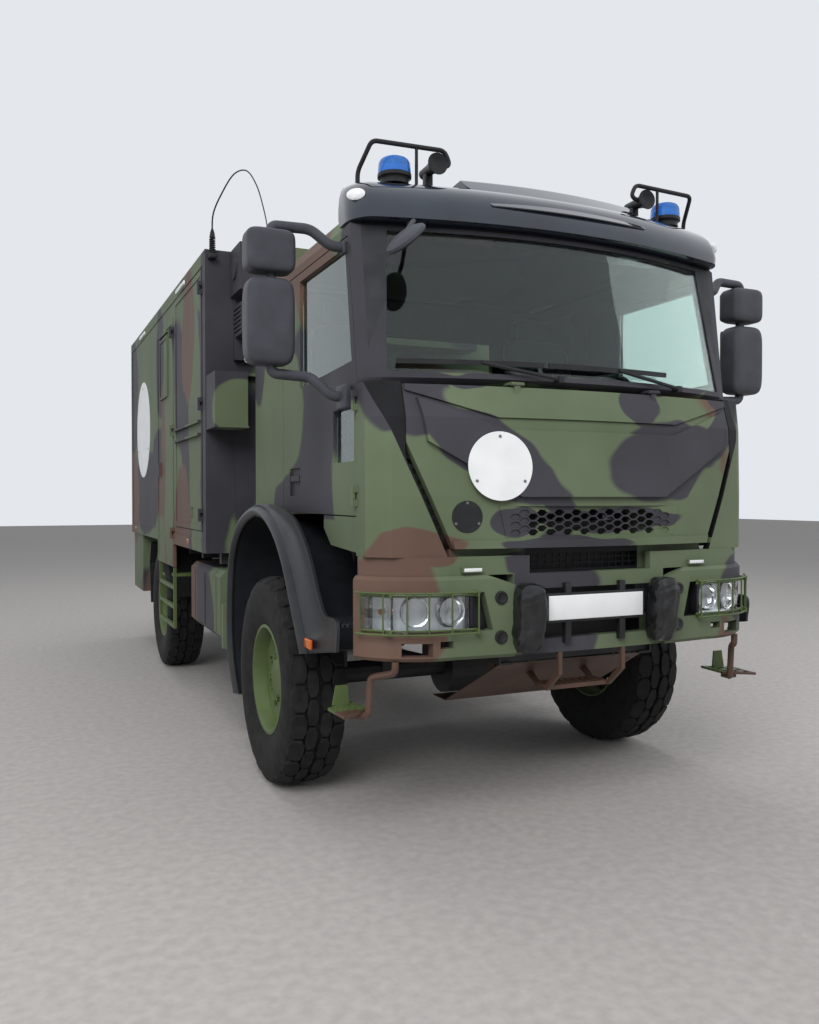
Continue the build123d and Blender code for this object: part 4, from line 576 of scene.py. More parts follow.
def rimGrids(centre, side):
    # well, flange and hub turn about the axle; each hand hole has a grid from its edge to its sector's edge
    grids = [lathe(wheel["well"], (0, 0, 0), "x", 80, closed=True), lathe(wheel["hub"], (0, 0, 0), "x", 64)]
    middle = wheel["holeCircle"]
    t = np.arange(32) * 2 * np.pi / 32
    direction = np.stack([np.cos(t), np.sin(t)], -1)
    hole = direction * np.array(wheel["holeHalf"])
    square = direction / np.abs(direction).max(axis=1, keepdims=True)
    radius = middle + square[:, 0] * np.where(square[:, 0] > 0, wheel["discReach"][1], wheel["discReach"][0])
    border = np.stack([radius, square[:, 1] * np.pi / wheel["holes"]], -1)
    share = np.linspace(0, 1, 5)[:, None]
    radii = np.hypot(hole[:, 1], middle + hole[:, 0]) * (1 - share) + border[:, 0] * share
    turns = np.arctan2(hole[:, 1], middle + hole[:, 0]) * (1 - share) + border[:, 1] * share
    face = wheel["discFace"] + wheel["discDish"] * np.clip((radii - 0.16) / 0.09, 0, 1) ** 1.5
    depth, radii, turns = (np.concatenate([back[::-1], front]) for back, front in
                           ((face - wheel["discThickness"], face), (radii, radii), (turns, turns)))
    for angle in np.arange(wheel["holes"]) * 2 * np.pi / wheel["holes"]:
        grids.append(np.stack([depth, radii * np.sin(turns + angle), radii * np.cos(turns + angle)], -1))
    return [grid * np.array([side, 1, 1]) + np.array(centre) for grid in grids]


def nutGrids(centre, side):
    # hexagon nuts with a turned end, on the bolt circle
    nut = closeEnds(lathe(wheel["nut"], (0, 0, 0), "x", 6))
    places = [(wheel["nutSeat"], wheel["nutCircle"] * math.sin(turn), wheel["nutCircle"] * math.cos(turn))
              for turn in (np.arange(wheel["nuts"]) + 0.5) * 2 * np.pi / wheel["nuts"]]
    return [(nut + np.array(place)) * np.array([side, 1, 1]) + np.array(centre) for place in places]


for corner, (wheelX, wheelY) in wheelPlaces.items():
    centre = (wheelX, wheelY, wheel["radius"])
    side = 1 if wheelX > 0 else -1
    body = frameNodes["tyre_" + corner]["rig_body"]
    tyre = buildPiece("tread_" + corner, tyreGrids(centre), rubber, body, sharp=30)
    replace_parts(tyre, "tyre_" + corner)
    rim = buildPiece("disc_" + corner, rimGrids(centre, side), greenPaint, body)
    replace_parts(rim, "rim_" + corner)
    buildPiece("nuts_" + corner, nutGrids(centre, side), greenPaint, body)


def arcThrough(start, middle, end, steps):
    # points on the circle through three points of a plane
    (ax, ay), (bx, by), (cx, cy) = start, middle, end
    twice = 2 * (ax * (by - cy) + bx * (cy - ay) + cx * (ay - by))
    squares = [p[0] ** 2 + p[1] ** 2 for p in (start, middle, end)]
    x = (squares[0] * (by - cy) + squares[1] * (cy - ay) + squares[2] * (ay - by)) / twice
    y = (squares[0] * (cx - bx) + squares[1] * (ax - cx) + squares[2] * (bx - ax)) / twice
    angles = np.unwrap([math.atan2(p[1] - y, p[0] - x) for p in (start, middle, end)])
    angle = np.interp(np.linspace(0, 1, steps), [0, 0.5, 1], angles)
    return np.stack([x + math.hypot(ax - x, ay - y) * np.cos(angle),
                     y + math.hypot(ax - x, ay - y) * np.sin(angle)], -1)


def band(outer, inner, low, high, edge=0.002):
    # a wall between two lines in plan and two heights, with small bevels, closed at both ends
    levels = [(0.0, low + edge), (0.0, high - edge), (edge, high), (1.0, high), (1.0, low), (edge, low)]
    thickness = np.linalg.norm(outer - inner, axis=1).mean()
    rows = []
    for share, z in levels:
        share = share if share in (0.0, 1.0) else share / thickness
        rows.append(np.column_stack([outer * (1 - share) + inner * share, np.full(len(outer), z)]))
    return closeEnds(np.stack(rows, 1))


def pillow(low, high, power=0.32, steps=(56, 36)):
    # a cushion in a box: x = a c(u) c(v), y = b s(u) c(v), z = h s(v), with c and s raised to a power
    u = np.arange(steps[0]) * 2 * np.pi / steps[0]
    v = np.linspace(-np.pi / 2, np.pi / 2, steps[1])[:, None]
    raised = [np.sign(wave) * np.abs(wave) ** power for wave in (np.cos(u), np.sin(u), np.cos(v), np.sin(v))]
    form = np.stack([raised[0] * raised[2], raised[1] * raised[2], raised[3] + 0 * u], -1)
    low, high = axleFrame(low), axleFrame(high)
    return form * (high - low) / 2 + (low + high) / 2


def wrinkle(grid, depth, length, seed=0.0):
    # soft folds: each point moves along its direction from the middle by d sin(k.p + 2 sin(m.p))
    middle = grid.reshape(-1, 3).mean(axis=0)
    out = grid - middle
    out = out / np.maximum(np.linalg.norm(out, axis=-1, keepdims=True), 1e-6)
    k = 2 * np.pi / length
    slow = np.sin(grid @ np.array([0.6, 0.2, 0.9]) * k * 0.45 + seed)
    fold = np.sin(grid @ np.array([0.9, 0.5, -0.7]) * k + 2.2 * slow + seed)
    cross = np.sin(grid @ np.array([-0.5, 0.7, 0.8]) * k * 1.9 + 1.7 * slow)
    fade = 1 - np.abs(np.linspace(-1, 1, grid.shape[0]))[:, None] ** 6
    return grid + out * ((0.7 * fold + 0.3 * cross) * depth * fade)[..., None]


# Headlamps

print("scene: lamps")
bumper = {
    "front": -1.370, "cornerX": 0.700, "cornerRise": 0.038, "middleX": 0.960, "middleRise": 0.108,
    "sideX": 1.090, "sideY": -1.112,
}
headlamp = {
    "low": 0.977, "high": 1.141, "inner": 0.534, "coverInner": 0.633, "turnInner": 0.953, "outerY": -1.144,
    "bowls": [(0.711, -1.302, 0.0), (0.869, -1.268, 14.0)],      # x, y of the rim, degrees turned outwards
    "bowlRadius": 0.058, "z": 1.060,
}


def bumperLine(inset, start, stopY, steps=36):
    # the bumper's outline from x = start round the left corner to y = stopY
    cornerX, cornerY = bumper["cornerX"], bumper["front"] + bumper["cornerRise"]
    front = arcThrough((-cornerX, cornerY), (0, bumper["front"]), (cornerX, cornerY), 141)
    corner = arcThrough((cornerX, cornerY), (bumper["middleX"], bumper["front"] + bumper["middleRise"]),
                        (bumper["sideX"], bumper["sideY"]), 90)
    line = np.concatenate([front, corner[1:]])
    along = np.gradient(line, axis=0)
    along /= np.linalg.norm(along, axis=1, keepdims=True)
    line = line + inset * np.column_stack([-along[:, 1], along[:, 0]])
    line = line[(line[:, 0] > start) & (line[:, 1] < stopY)]
    pick = np.linspace(0, len(line) - 1, steps)
    line = np.column_stack([np.interp(pick, np.arange(len(line)), line[:, k]) for k in (0, 1)])
    return line + np.array([0, originY])


def turned(grid, degrees, centre):
    # a grid turned about the vertical through a centre
    angle = math.radians(degrees)
    cosine, sine = math.cos(angle), math.sin(angle)
    matrix = np.array([[cosine, -sine, 0], [sine, cosine, 0], [0, 0, 1]])
    return (grid - np.array(centre)) @ matrix.T + np.array(centre)


def bumperBand(near, far, start, low, high, edge=0.002, stopY=headlamp["outerY"]):
    # a band that follows the bumper between two insets from its face
    return band(bumperLine(near, start, stopY), bumperLine(far, start, stopY), low, high, edge)


low, high = headlamp["low"], headlamp["high"]
backing = bumperBand(0.060, 0.066, headlamp["inner"], low - 0.004, high + 0.004)
tray = [bumperBand(0.012, 0.062, headlamp["inner"] + 0.02, z, z + 0.004) for z in (low - 0.003, high - 0.001)]
divider = roundedBox([0.622, -1.335, low + 0.002], [0.634, -1.285, high - 0.002], 0.002, 3)
housing = buildPiece("lampHousing", mirrored([backing] + tray + [divider]), trimPlastic)
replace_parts(housing, "headlamps")
reflector = bumperBand(0.050, 0.054, headlamp["coverInner"] - 0.001, low + 0.002, high - 0.002)
buildPiece("lampReflector", mirrored([reflector]), satinMetal)
radius = headlamp["bowlRadius"]
lampParts = [                # name, profile as (along, radius), steps, closed, material
    ("lampBowls", [(0.000, radius), (0.010, radius - 0.004), (0.022, radius - 0.012),
                   (0.032, radius - 0.026), (0.037, 0.012), (0.037, 0.0), (0.041, 0.0),
                   (0.040, radius - 0.020), (0.026, radius - 0.008), (0.002, radius + 0.002)],
     48, True, chromePlate),
    ("lampRings", [(0.000, radius - 0.001), (-0.008, radius), (-0.010, radius + 0.004),
                   (0.004, radius + 0.006), (0.006, radius)], 48, True, chromePlate),
    ("lampBulbs", [(0.034, 0.0), (0.034, 0.012), (0.020, 0.014), (0.014, 0.011), (0.011, 0.0)],
     24, False, lampGlass),
]
for name, profile, steps, closed, finish in lampParts:
    places = [(axleFrame([x, y, headlamp["z"]]), turn) for x, y, turn in headlamp["bowls"]]
    buildPiece(name, mirrored([turned(lathe(profile, centre, "y", steps, closed), turn, centre)
                               for centre, turn in places]), finish)
turnBox = bumperBand(0.022, 0.040, headlamp["turnInner"], low + 0.012, high - 0.012, 0.004,
                     headlamp["outerY"] + 0.002)
buildPiece("turnLamps", mirrored([turnBox]), lampGlass)
amber = lathe([(-0.013, 0.0), (-0.010, 0.010), (0.0, 0.015), (0.010, 0.010), (0.013, 0.0)],
              axleFrame([0.990, -1.188, headlamp["z"]]), "z", 24)
buildPiece("turnBulbs", mirrored([amber]), amberLens)
cover = bumperBand(0.006, 0.009, headlamp["coverInner"], low, high, 0.001, headlamp["outerY"] + 0.004)
buildPiece("lampCovers", mirrored([cover]), lampGlass)
ledFace = [roundedBox([0.576, -1.3375, 1.231], [0.664, -1.330, 1.247], 0.003, 3)]
buildPiece("edgeLamps", mirrored(ledFace), whiteLens)

plug = [(-0.002, 0.0), (-0.004, 0.018), (-0.007, 0.024), (-0.004, 0.029), (0.004, 0.030), (0.004, 0.0)]
plugs = [lathe(plug, axleFrame([0.490, -1.3545, z]), "y", 32) for z in (1.115, 0.942)]
buildPiece("bumperPlugs", mirrored(plugs), trimPlastic)

# Beacons, horns and their guards

beaconSeat = axleFrame([0.797, -0.881, 3.0125])
base = lathe([(0, 0), (0, 0.070), (0.018, 0.066), (0.028, 0.070), (0.034, 0.080), (0.050, 0.080),
              (0.052, 0.0)], beaconSeat, "z", 40)
dome = lathe([(0.051, 0), (0.051, 0.076), (0.060, 0.0775), (0.100, 0.0750), (0.116, 0.068), (0.124, 0.056),
              (0.127, 0.035), (0.1275, 0.0)], beaconSeat, "z", 40)
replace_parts(buildPiece("beaconBases", mirrored([base]), trimPlastic), "beacons")
buildPiece("beaconDomes", mirrored([dome]), blueLens)
guardPoints = [(0.964, -0.835, 3.008), (0.964, -0.835, 3.070), (0.930, -0.930, 3.186),
               (0.560, -0.930, 3.196), (0.530, -0.932, 3.130), (0.600, -0.940, 3.105)]
guardLine = bentLine(axleFrame(guardPoints), 0.028, 8)
guard = [tubeAlong(guardLine, 0.011, 12),
         tubeAlong(axleFrame([(0.705, -0.928, z) for z in (3.008, 3.100, 3.190)]), 0.008, 10)]
horn = lathe([(0.0, 0.050), (0.004, 0.051), (0.012, 0.046), (0.040, 0.034), (0.080, 0.026), (0.165, 0.024),
              (0.165, 0.0), (0.020, 0.0), (0.012, 0.030)], axleFrame([0.610, -0.965, 3.118]), "y", 40, True)
foot = roundedBox([0.590, -0.870, 3.010], [0.630, -0.830, 3.118], 0.006, 3)
fittings = buildPiece("hornsAndGuards", mirrored(guard + [horn, foot]), trimPlastic)
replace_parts(fittings, "roof_fittings")

# Sun visor over the windscreen

visor = {
    # height, half width, foremost y, y of the rear end
    "levels": [
        (2.795, 1.046, -1.194, -0.842), (2.798, 1.056, -1.203, -0.840), (2.830, 1.060, -1.205, -0.838),
        (2.880, 1.060, -1.192, -0.838), (2.930, 1.056, -1.160, -0.838), (2.965, 1.046, -1.122, -0.835),
        (2.990, 1.028, -1.080, -0.820), (3.006, 1.002, -1.035, -0.800), (3.012, 0.978, -1.002, -0.785)],
    "arcEnd": 0.91, "bow": 0.150, "cornerDepth": 0.115,
    # the raised panel: height, half width, foremost y
    "panel": [(2.880, 0.430, -1.203), (2.884, 0.432, -1.207), (2.970, 0.463, -1.106), (3.054, 0.492, -1.010),
              (3.060, 0.486, -1.002), (3.060, 0.480, -0.905), (2.990, 0.480, -0.900), (2.900, 0.440, -1.000)],
    "panelBow": 0.20,
}


def visorGrid():
    # each level: y = nose + bow x^2 as far as arcEnd, a quarter of an ellipse to the side, then straight back
    rows = []
    for z, half, nose, rear in visor["levels"]:
        x = np.linspace(0, visor["arcEnd"] * half, 22)
        y = nose + visor["bow"] * x ** 2
        t = np.linspace(0, np.pi / 2, 14)[1:]
        across = (half - x[-1]) * np.sin(t)
        cornerY = y[-1] + 2 * visor["bow"] * x[-1] * across + visor["cornerDepth"] * (1 - np.cos(t))
        halfX = np.concatenate([x, x[-1] + across, np.full(3, half), np.linspace(half, 0, 12)[1:]])
        halfY = np.concatenate([y, cornerY, np.linspace(cornerY[-1], rear, 4)[1:], np.full(11, rear)])
        loopX = np.concatenate([halfX, -halfX[-2:0:-1]])
        loopY = np.concatenate([halfY, halfY[-2:0:-1]])
        rows.append(np.column_stack([loopX, loopY + originY, np.full(len(loopX), z)]))
    return closeEnds(np.stack(rows))


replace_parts(buildPiece("sunVisor", [visorGrid()], visorAcrylic, sharp=50), "roof_visor")
panelX = np.linspace(-1, 1, 25)
panelRows = [np.column_stack([panelX * half, y + originY + visor["panelBow"] * (panelX * half) ** 2,
                              np.full(25, z)]) for z, half, y in visor["panel"]]
buildPiece("visorPanel", [closeEnds(np.stack(panelRows, 1))], visorAcrylic, sharp=40)
oval = lathe([(-0.012, 0.0), (-0.012, 0.020), (0.000, 0.022), (0.008, 0.016), (0.011, 0.0)],
             (0, 0, 0), "z", 28)
ovals = []
for side in (1, -1):
    point = axleFrame([side * 1.035, -1.000, 2.905])
    normal = np.array([side * 0.62, -0.76, 0.12])
    ovals.append(turnTo(oval * np.array([2.0, 1.25, 1.0]), point, normal / np.linalg.norm(normal)))
buildPiece("visorLamps", ovals, whiteLens)

# Mirrors

print("scene: mirrors and fittings")
mirrorParts = {
    "glasses": [((1.276, -0.908, 2.552), (1.500, -0.768, 2.745)),
                ((1.280, -0.908, 2.142), (1.500, -0.768, 2.530))],
    "armRadius": 0.024, "armBend": 0.034, "paneEdge": 0.016,
    "arms": [[(1.048, -0.900, 2.690), (1.120, -0.900, 2.690), (1.200, -0.850, 2.770), (1.380, -0.835, 2.770),
              (1.380, -0.835, 2.700)],
             [(1.048, -0.920, 2.010), (1.120, -0.920, 2.010), (1.200, -0.850, 2.100), (1.380, -0.835, 2.110),
              (1.380, -0.835, 2.230)],
             [(1.380, -0.835, 2.500), (1.380, -0.835, 2.540), (1.380, -0.835, 2.575)]],
}
cases = [pillow(low, high, 0.36, (64, 40)) for low, high in mirrorParts["glasses"]]
cases += [roundedBox([1.0502, -1.000, 1.950], [1.090, -0.880, 2.060], 0.010, 4),
          roundedBox([1.0502, -0.925, 2.660], [1.068, -0.875, 2.715], 0.006, 4)]
cases += [tubeAlong(bentLine(axleFrame(line), mirrorParts["armBend"], 8), mirrorParts["armRadius"], 16)
          for line in mirrorParts["arms"]]
edge = mirrorParts["paneEdge"]
panes = [roundedBox([low[0] + edge, high[1] - 0.003, low[2] + edge],
                    [high[0] - edge, high[1] + 0.001, high[2] - edge], 0.018, 5)
         for low, high in mirrorParts["glasses"]]
for side, name in ((1, "mirrors_left"), (-1, "mirrors_right")):
    body = frameNodes[name]["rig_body"]
    flip = np.array([side, 1, 1])
    sideCases = [grid * flip for grid in cases]
    housing = buildPiece("mirrorCases" + name[7:], sideCases, mirrorPlastic, body, sharp=60)
    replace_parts(housing, name)
    buildPiece("mirrorPanes" + name[7:], [grid * flip for grid in panes], chromePlate, body)

kerb = {"centre": (-0.925, -1.300, 2.640), "facing": (-0.72, -0.10, 0.69), "stretch": (1.30, 1.0, 1.0)}
leaf = lathe([(-0.016, 0.0), (-0.016, 0.070), (-0.012, 0.084), (-0.004, 0.090), (0.008, 0.086),
              (0.020, 0.066), (0.028, 0.036), (0.030, 0.0)], (0, 0, 0), "z", 44)
facing = np.array(kerb["facing"]) / np.linalg.norm(kerb["facing"])
leafGrid = turnTo(leaf * np.array(kerb["stretch"]), axleFrame(kerb["centre"]), facing)
kerbLine = [(-0.800, -1.056, 2.796), (-0.800, -1.056, 2.765), (-0.860, -1.240, 2.740),
            (-0.925, -1.292, 2.660)]
kerbArm = tubeAlong(bentLine(axleFrame(kerbLine), 0.016, 8), 0.011, 12)
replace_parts(buildPiece("kerbMirror", [leafGrid, kerbArm], mirrorPlastic), "kerb_mirror")

# Whip antenna

whipX, whipY, whipZ = -1.206, 1.296, 3.235
whipPoints = [(0.0, whipY, 3.295), (-0.006, whipY - 0.060, 3.445), (0.018, 1.040, 3.540),
              (0.060, 0.900, 3.610), (0.105, 0.760, 3.590), (0.140, 0.660, 3.480), (0.165, 0.600, 3.340),
              (0.185, 0.560, 3.180), (0.200, 0.530, 2.905)]
whipLine = smoothLine(axleFrame(whipPoints) + np.array([whipX, 0, 0]), 9)
whip = tubeAlong(whipLine, np.linspace(0.0055, 0.0032, len(whipLine)), 8)
springTurn = np.linspace(0, 2 * np.pi * 7, 150)
spring = tubeAlong(axleFrame(np.column_stack([
    whipX + 0.017 * np.cos(springTurn), whipY + 0.017 * np.sin(springTurn),
    whipZ - 0.036 + 0.100 * springTurn / springTurn[-1]])), 0.005, 7)
core = lathe([(-0.040, 0.0), (-0.040, 0.021), (-0.034, 0.021), (-0.032, 0.011), (0.066, 0.010),
              (0.070, 0.020), (0.100, 0.016), (0.130, 0.007), (0.130, 0.0)],
             axleFrame([whipX, whipY, whipZ]), "z", 24)
seat = roundedBox([whipX - 0.026, whipY - 0.026, whipZ - 0.070],
                  [whipX + 0.026, 1.3297, whipZ - 0.040], 0.005, 3)
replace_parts(buildPiece("whipAntenna", [whip, spring, core, seat], trimPlastic), "antenna")

# Towing hook covers of black coated fabric, with folds and a sewn edge

hookCover = {"x": 0.369, "width": 0.135, "low": 0.873, "high": 1.176, "nose": -1.445, "back": -1.3575}
covers, seams = [], []
for side in (1, -1):
    x = side * hookCover["x"]
    half = hookCover["width"] / 2
    cover = pillow([x - half, hookCover["nose"] - 0.002, hookCover["low"]],
                   [x + half, hookCover["back"] + 0.020, hookCover["high"]], 0.45, (90, 64))
    share = (cover[..., 2:] - hookCover["low"]) / (hookCover["high"] - hookCover["low"])
    lean = np.concatenate([0 * share, 0.022 * (1 - share) ** 1.5, 0 * share], -1)
    covers.append(wrinkle(cover + lean, 0.0060, 0.085, seed=1.3 * side))
    edge = np.linspace(0, 2 * np.pi, 90)
    across, upward = [np.sign(wave) * np.abs(wave) ** 0.4 for wave in (np.cos(edge), np.sin(edge))]
    line = np.column_stack([x + (half - 0.006) * across, np.full(90, hookCover["back"] - 0.004 + originY),
                            (hookCover["low"] + hookCover["high"]) / 2
                            + ((hookCover["high"] - hookCover["low"]) / 2 - 0.004) * upward])
    seams.append(tubeAlong(line, 0.004, 6, reference=(0, 1, 0)))
coverPiece = buildPiece("hookCoverCloth", covers, vinyl, sharp=75)
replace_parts(coverPiece, "hook_covers")
buildPiece("hookCoverHems", seams, vinyl, sharp=75)

# Seats: a rigid base under crowned cushions

seatPlan = {
    "x": 0.640, "halfWidth": 0.240, "backHalf": 0.232, "floor": 1.5303, "lean": 0.235, "bolster": 0.022,
}
cushions, bases = [], []
for side in (1, -1):
    x, half, backHalf = side * seatPlan["x"], seatPlan["halfWidth"], seatPlan["backHalf"]
    cushion = pillow([x - half, -0.420, 1.855], [x + half, 0.060, 1.980], 0.34)
    back = pillow([x - backHalf, -0.060, 1.950], [x + backHalf, 0.060, 2.560], 0.34)
    head = pillow([x - 0.130, 0.195, 2.500], [x + 0.130, 0.290, 2.700], 0.40)
    sides = np.clip(np.abs(back[..., 0] - x) / backHalf, 0, 1) ** 3
    shift = (back[..., 2] - 1.95) * seatPlan["lean"] - seatPlan["bolster"] * sides + 0.075
    back = back + shift[..., None] * np.array([0, 1, 0])
    cushions += [wrinkle(cushion, 0.0025, 0.16, seed=side), wrinkle(back, 0.0025, 0.18, seed=2 * side),
                 wrinkle(head, 0.0015, 0.10)]
    bases.append(roundedBox([x - 0.180, -0.330, seatPlan["floor"]], [x + 0.180, 0.020, 1.860], 0.020, 4))
    for post in (x - 0.06, x + 0.06):
        bases.append(tubeAlong(axleFrame([(post, 0.215, 2.420), (post, 0.235, 2.480), (post, 0.242, 2.540)]),
                               0.007, 10))
seatPiece = buildPiece("seatCushions", cushions, seatCloth, sharp=75)
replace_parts(seatPiece, "seats")
buildPiece("seatBases", bases, dashPlastic)

# Blank plate, discs and screws

print("scene: plates and small parts")
plate = {"halfWidth": 0.260, "low": 1.003, "high": 1.113, "face": -1.379, "rim": 0.012}
rim, face = plate["rim"], plate["face"]
board = roundedBox([-plate["halfWidth"] - rim, face + 0.003, plate["low"] - rim],
                   [plate["halfWidth"] + rim, face + 0.012, plate["high"] + rim], 0.004)
bars = [roundedBox([x - 0.016, face + 0.010, 0.895], [x + 0.016, -1.340, 1.168], 0.003, 3)
        for x in (-0.150, 0.150)]
buildPiece("plateFrame", [board] + bars, trimPlastic)
blank = roundedBox([-plate["halfWidth"], face, plate["low"]],
                   [plate["halfWidth"], face + 0.006, plate["high"]], 0.003)
buildPiece("blankPlate", [blank], whiteEnamel)


def discAt(nodeName, start, direction, radius, thick=0.003):
    # a thin turned disc on a node's surface, and three screws near its edge
    point, normal = surfaceAt(nodeName, start, direction)
    disc = lathe([(0.0, 0.0), (0.0, radius), (thick - 0.001, radius), (thick, radius - 0.001), (thick, 0.0)],
                 (0, 0, 0), "z", 72)
    screw = lathe([(0.0, 0.0), (0.0, 0.007), (0.003, 0.0065), (0.005, 0.004), (0.005, 0.0)],
                  (0, 0, thick), "z", 12)
    heads = [screw + radius * 0.86 * np.array([math.cos(a), math.sin(a), 0]) for a in (1.571, 3.665, 5.760)]
    return turnTo(disc, point, normal), [turnTo(head, point, normal) for head in heads]


discs = [                    # name, node it lies on, start of the ray, its direction, radius, material
    ("flapDisc", "front_flap", (-0.496, -1.90, 1.690), (0, 1, 0), 0.152, whiteEnamel),
    ("numberDisc", "front_flap", (-0.640, -1.90, 1.469), (0, 1, 0), 0.070, trimPlastic),
    ("rightDisc", "box_shell", (-2.0, 4.570, 2.234), (1, 0, 0), 0.480, whiteEnamel),
    ("leftDisc", "box_shell", (2.0, 4.570, 2.234), (-1, 0, 0), 0.480, whiteEnamel),
]
for name, nodeName, start, direction, radius, finish in discs:
    disc, heads = discAt(nodeName, axleFrame(start), direction, radius)
    body = frameNodes[nodeName]["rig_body"]
    buildPiece(name, [disc], finish, body)
    buildPiece(name + "Screws", heads, bareSteel, body)

# Lamps and fittings on the sides

tubes = [roundedBox([1.238, y - 0.190, 3.165], [1.262, y + 0.190, 3.200], 0.010, 5) for y in (2.300, 4.550)]
buildPiece("sideTubeLights", mirrored(tubes), whiteLens)
markers = [roundedBox([1.247, y - 0.035, 1.205], [1.2515, y + 0.035, 1.240], 0.006) for y in (2.040, 5.185)]
buildPiece("sideMarkers", mirrored(markers), amberLens)
cap = lathe([(-0.024, 0.0), (-0.024, 0.047), (-0.004, 0.047), (0.0, 0.043), (0.0, 0.0)],
            axleFrame([-1.080, 1.1195, 0.980]), "y", 40)
buildPiece("fuelCap", [cap], bluePlastic)

# Front fenders: a ribbed band round the wheel opening that widens into a hollow flank ahead of the wheel

fender = {
    "face": 1.172, "ribWidth": 0.066, "ribRise": 0.030, "hollow": 0.030, "thickness": 0.014, "innerX": 0.800,
    # y and z on the wheel opening, y and z on the fender's outer edge
    "rows": [(0.700, 0.335, 0.760, 0.335), (0.852, 0.565, 0.915, 0.560), (0.880, 0.856, 0.945, 0.862),
             (0.808, 1.175, 0.870, 1.208), (0.606, 1.354, 0.650, 1.422), (0.295, 1.440, 0.300, 1.508),
             (0.048, 1.424, 0.020, 1.516), (-0.175, 1.335, -0.235, 1.504), (-0.347, 1.197, -0.480, 1.449),
             (-0.476, 1.030, -0.700, 1.310), (-0.560, 0.915, -0.860, 1.120), (-0.612, 0.850, -0.960, 1.030),
             (-0.632, 0.822, -1.118, 1.018), (-0.645, 0.803, -1.118, 0.885)],
}


def fenderGrids():
    # across each row x = face + rise sin(pi d / w)^0.6 over the rib, then face - hollow sin(pi u) to its edge
    rows = np.array(fender["rows"])
    inner, outer = smoothLine(rows[:, :2], 8), smoothLine(rows[:, 2:], 8)
    reach = np.linalg.norm(outer - inner, axis=1)[:, None]
    ribShare = np.minimum(1, fender["ribWidth"] / reach)
    share = np.concatenate([np.linspace(0, 1, 15) * ribShare,
                            ribShare + np.linspace(0.06, 1, 14) * (1 - ribShare)], 1)
    distance = share * reach
    rib = np.sin(np.pi * np.clip(distance / fender["ribWidth"], 0, 1)) ** 0.6
    rest = np.clip((distance - fender["ribWidth"]) / np.maximum(reach - fender["ribWidth"], 1e-4), 0, 1)
    depth = fender["hollow"] * np.clip((reach - 0.10) / 0.15, 0, 1)
    x = fender["face"] + fender["ribRise"] * rib - depth * np.sin(np.pi * rest)
    flat = inner[:, None] + (outer - inner)[:, None] * share[..., None]
    front = np.concatenate([x[..., None], flat], -1)
    back = front - np.array([fender["thickness"], 0, 0])
    outward = np.gradient(inner, axis=0)[:, ::-1] * np.array([1, -1])
    outward /= np.linalg.norm(outward, axis=1, keepdims=True)
    outward *= np.sign(((outer - inner) * outward).sum(axis=1, keepdims=True))
    near, far = fender["innerX"], fender["face"]
    liner = [np.column_stack([np.full(len(inner), x), inner + outward * lift])
             for x, lift in ((near, 0.0), (far + 0.004, 0.0), (far, 0.012), (near, 0.012))]
    grids = [np.concatenate([front, back[:, ::-1]], 1), np.stack(liner, 1)]
    return [axleFrame(closeEnds(grid)) for grid in grids]


step = {"low": (0.905, -1.095, 0.985), "high": (1.140, -0.860, 1.003), "bars": 9, "rails": 5}
(lowX, lowY, lowZ), (highX, highY, highZ) = step["low"], step["high"]
treads = [roundedBox([x - 0.006, lowY, lowZ + 0.002], [x + 0.006, highY, highZ], 0.002, 3)
          for x in np.linspace(lowX + 0.016, highX - 0.016, step["bars"])]
treads += [roundedBox([lowX, y - 0.008, lowZ], [highX, y + 0.008, highZ - 0.002], 0.003, 3)
           for y in np.linspace(lowY + 0.008, highY - 0.008, step["rails"])]
stay = roundedBox([0.4303, 0.860, 0.900], [0.860, 0.902, 0.940], 0.004, 3)
fenderPiece = buildPiece("frontArches", mirrored(fenderGrids() + treads + [stay]), fenderPlastic, sharp=42)
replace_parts(fenderPiece, "front_fenders")
reflector = roundedBox([1.168, -0.780, 0.842], [1.184, -0.690, 0.888], 0.005)
buildPiece("archReflectors", mirrored([reflector]), amberLens)


# Floor, light and camera

print("scene: stage")
stage = {"floorHalf": 45.0, "skyTone": "#e9edf2", "skyStrength": 0.55, "backStrength": 0.95}


def layFloor():
    # a flat square, z = 0, of sealed concrete: pale, matt and a little mottled
    half = stage["floorHalf"]
    mesh = bpy.data.meshes.new("floor")
    corners = [(-half, -half, 0), (half, -half, 0), (half, half, 0), (-half, half, 0)]
    mesh.from_pydata(corners, [], [(0, 1, 2, 3)])
    floor = bpy.data.objects.new("floor", mesh)
    bpy.context.collection.objects.link(floor)
    mesh.materials.append(plainMaterial("paleFloor", {"Roughness": 0.9}, 0.05, "#9d9996", "#a8a4a1"))


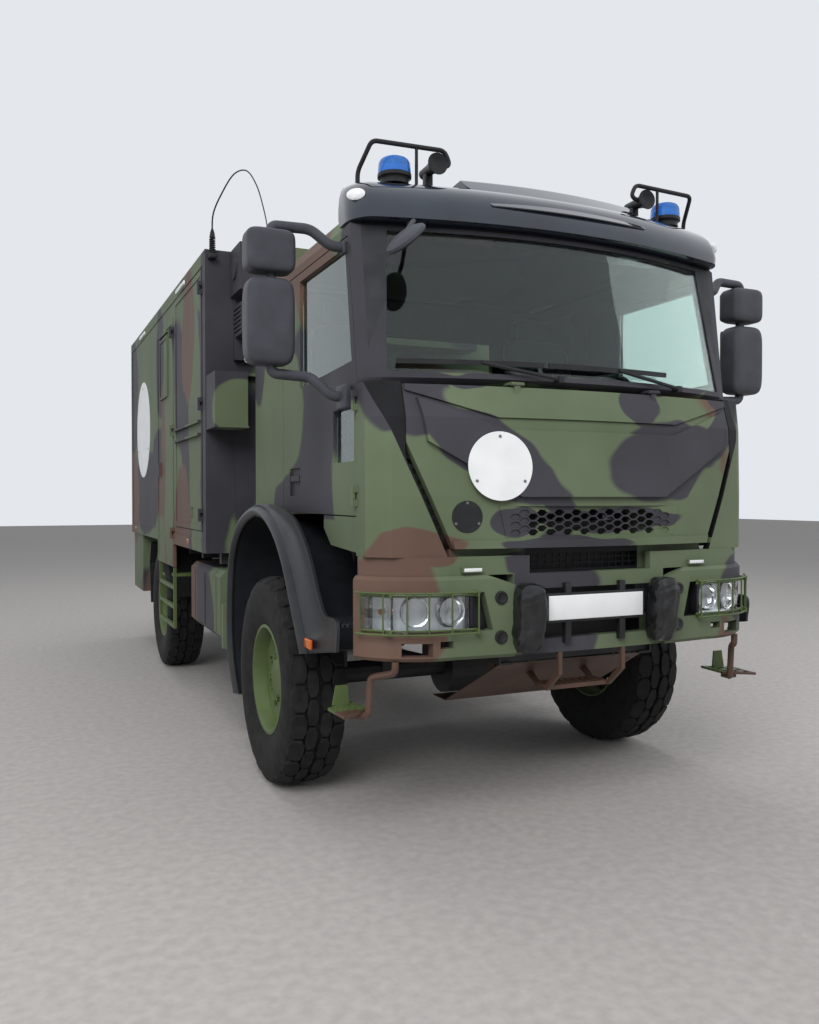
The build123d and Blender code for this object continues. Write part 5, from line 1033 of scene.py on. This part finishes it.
def lightWorld():
    # soft light from all round; the camera, mirrors and glass see a pale backdrop
    world = bpy.data.worlds.new("studio")
    bpy.context.scene.world = world
    world.use_nodes = True
    tree = world.node_tree
    tree.nodes.clear()
    rays = addNode(tree, "ShaderNodeLightPath").outputs
    seen = rays["Is Camera Ray"]
    for ray in ("Is Transmission Ray", "Is Glossy Ray"):
        seen = addNode(tree, "ShaderNodeMath", {"operation": "MAXIMUM"}, {0: seen, 1: rays[ray]})
    light, back = [addNode(tree, "ShaderNodeBackground", links={
        "Color": linearColour(stage["skyTone"]), "Strength": stage[strength]})
        for strength in ("skyStrength", "backStrength")]
    mix = addNode(tree, "ShaderNodeMixShader", links={0: seen, 1: light, 2: back})
    addNode(tree, "ShaderNodeOutputWorld", links={"Surface": mix})


lamps = [                    # name, place, size in m, power in W
    ("keyLight", (-7.0, -11.0, 9.0), 7.0, 1500),
    ("fillLight", (9.0, -6.0, 6.0), 6.0, 350),
    ("topLight", (0.0, 2.0, 11.0), 8.0, 600),
]


def hangLamps():
    for name, place, size, power in lamps:
        light = bpy.data.lights.new(name, "AREA")
        light.size = size
        light.energy = power
        lamp = bpy.data.objects.new(name, light)
        lamp.location = place
        aim = Vector((0, 0, 1.5)) - Vector(place)
        lamp.rotation_euler = aim.to_track_quat("-Z", "Y").to_euler()
        lamp.visible_glossy = False
        bpy.context.collection.objects.link(lamp)


cameraView = {"place": (-2.4222, -6.798, 1.5548), "yaw": 24.04, "pitch": -0.97, "lens": 30.93}


def setCamera():
    # the place, turn and lens that fit the photograph's straight edges
    camera = bpy.data.cameras.new("camera")
    camera.lens = cameraView["lens"]
    camera.sensor_width = 36
    eye = bpy.data.objects.new("camera", camera)
    eye.location = cameraView["place"]
    eye.rotation_euler = (math.radians(90 + cameraView["pitch"]), 0, math.radians(-cameraView["yaw"]))
    bpy.context.collection.objects.link(eye)
    bpy.context.scene.camera = eye


layFloor()
lightWorld()
hangLamps()
setCamera()
bpy.context.scene.view_settings.view_transform = "Standard"
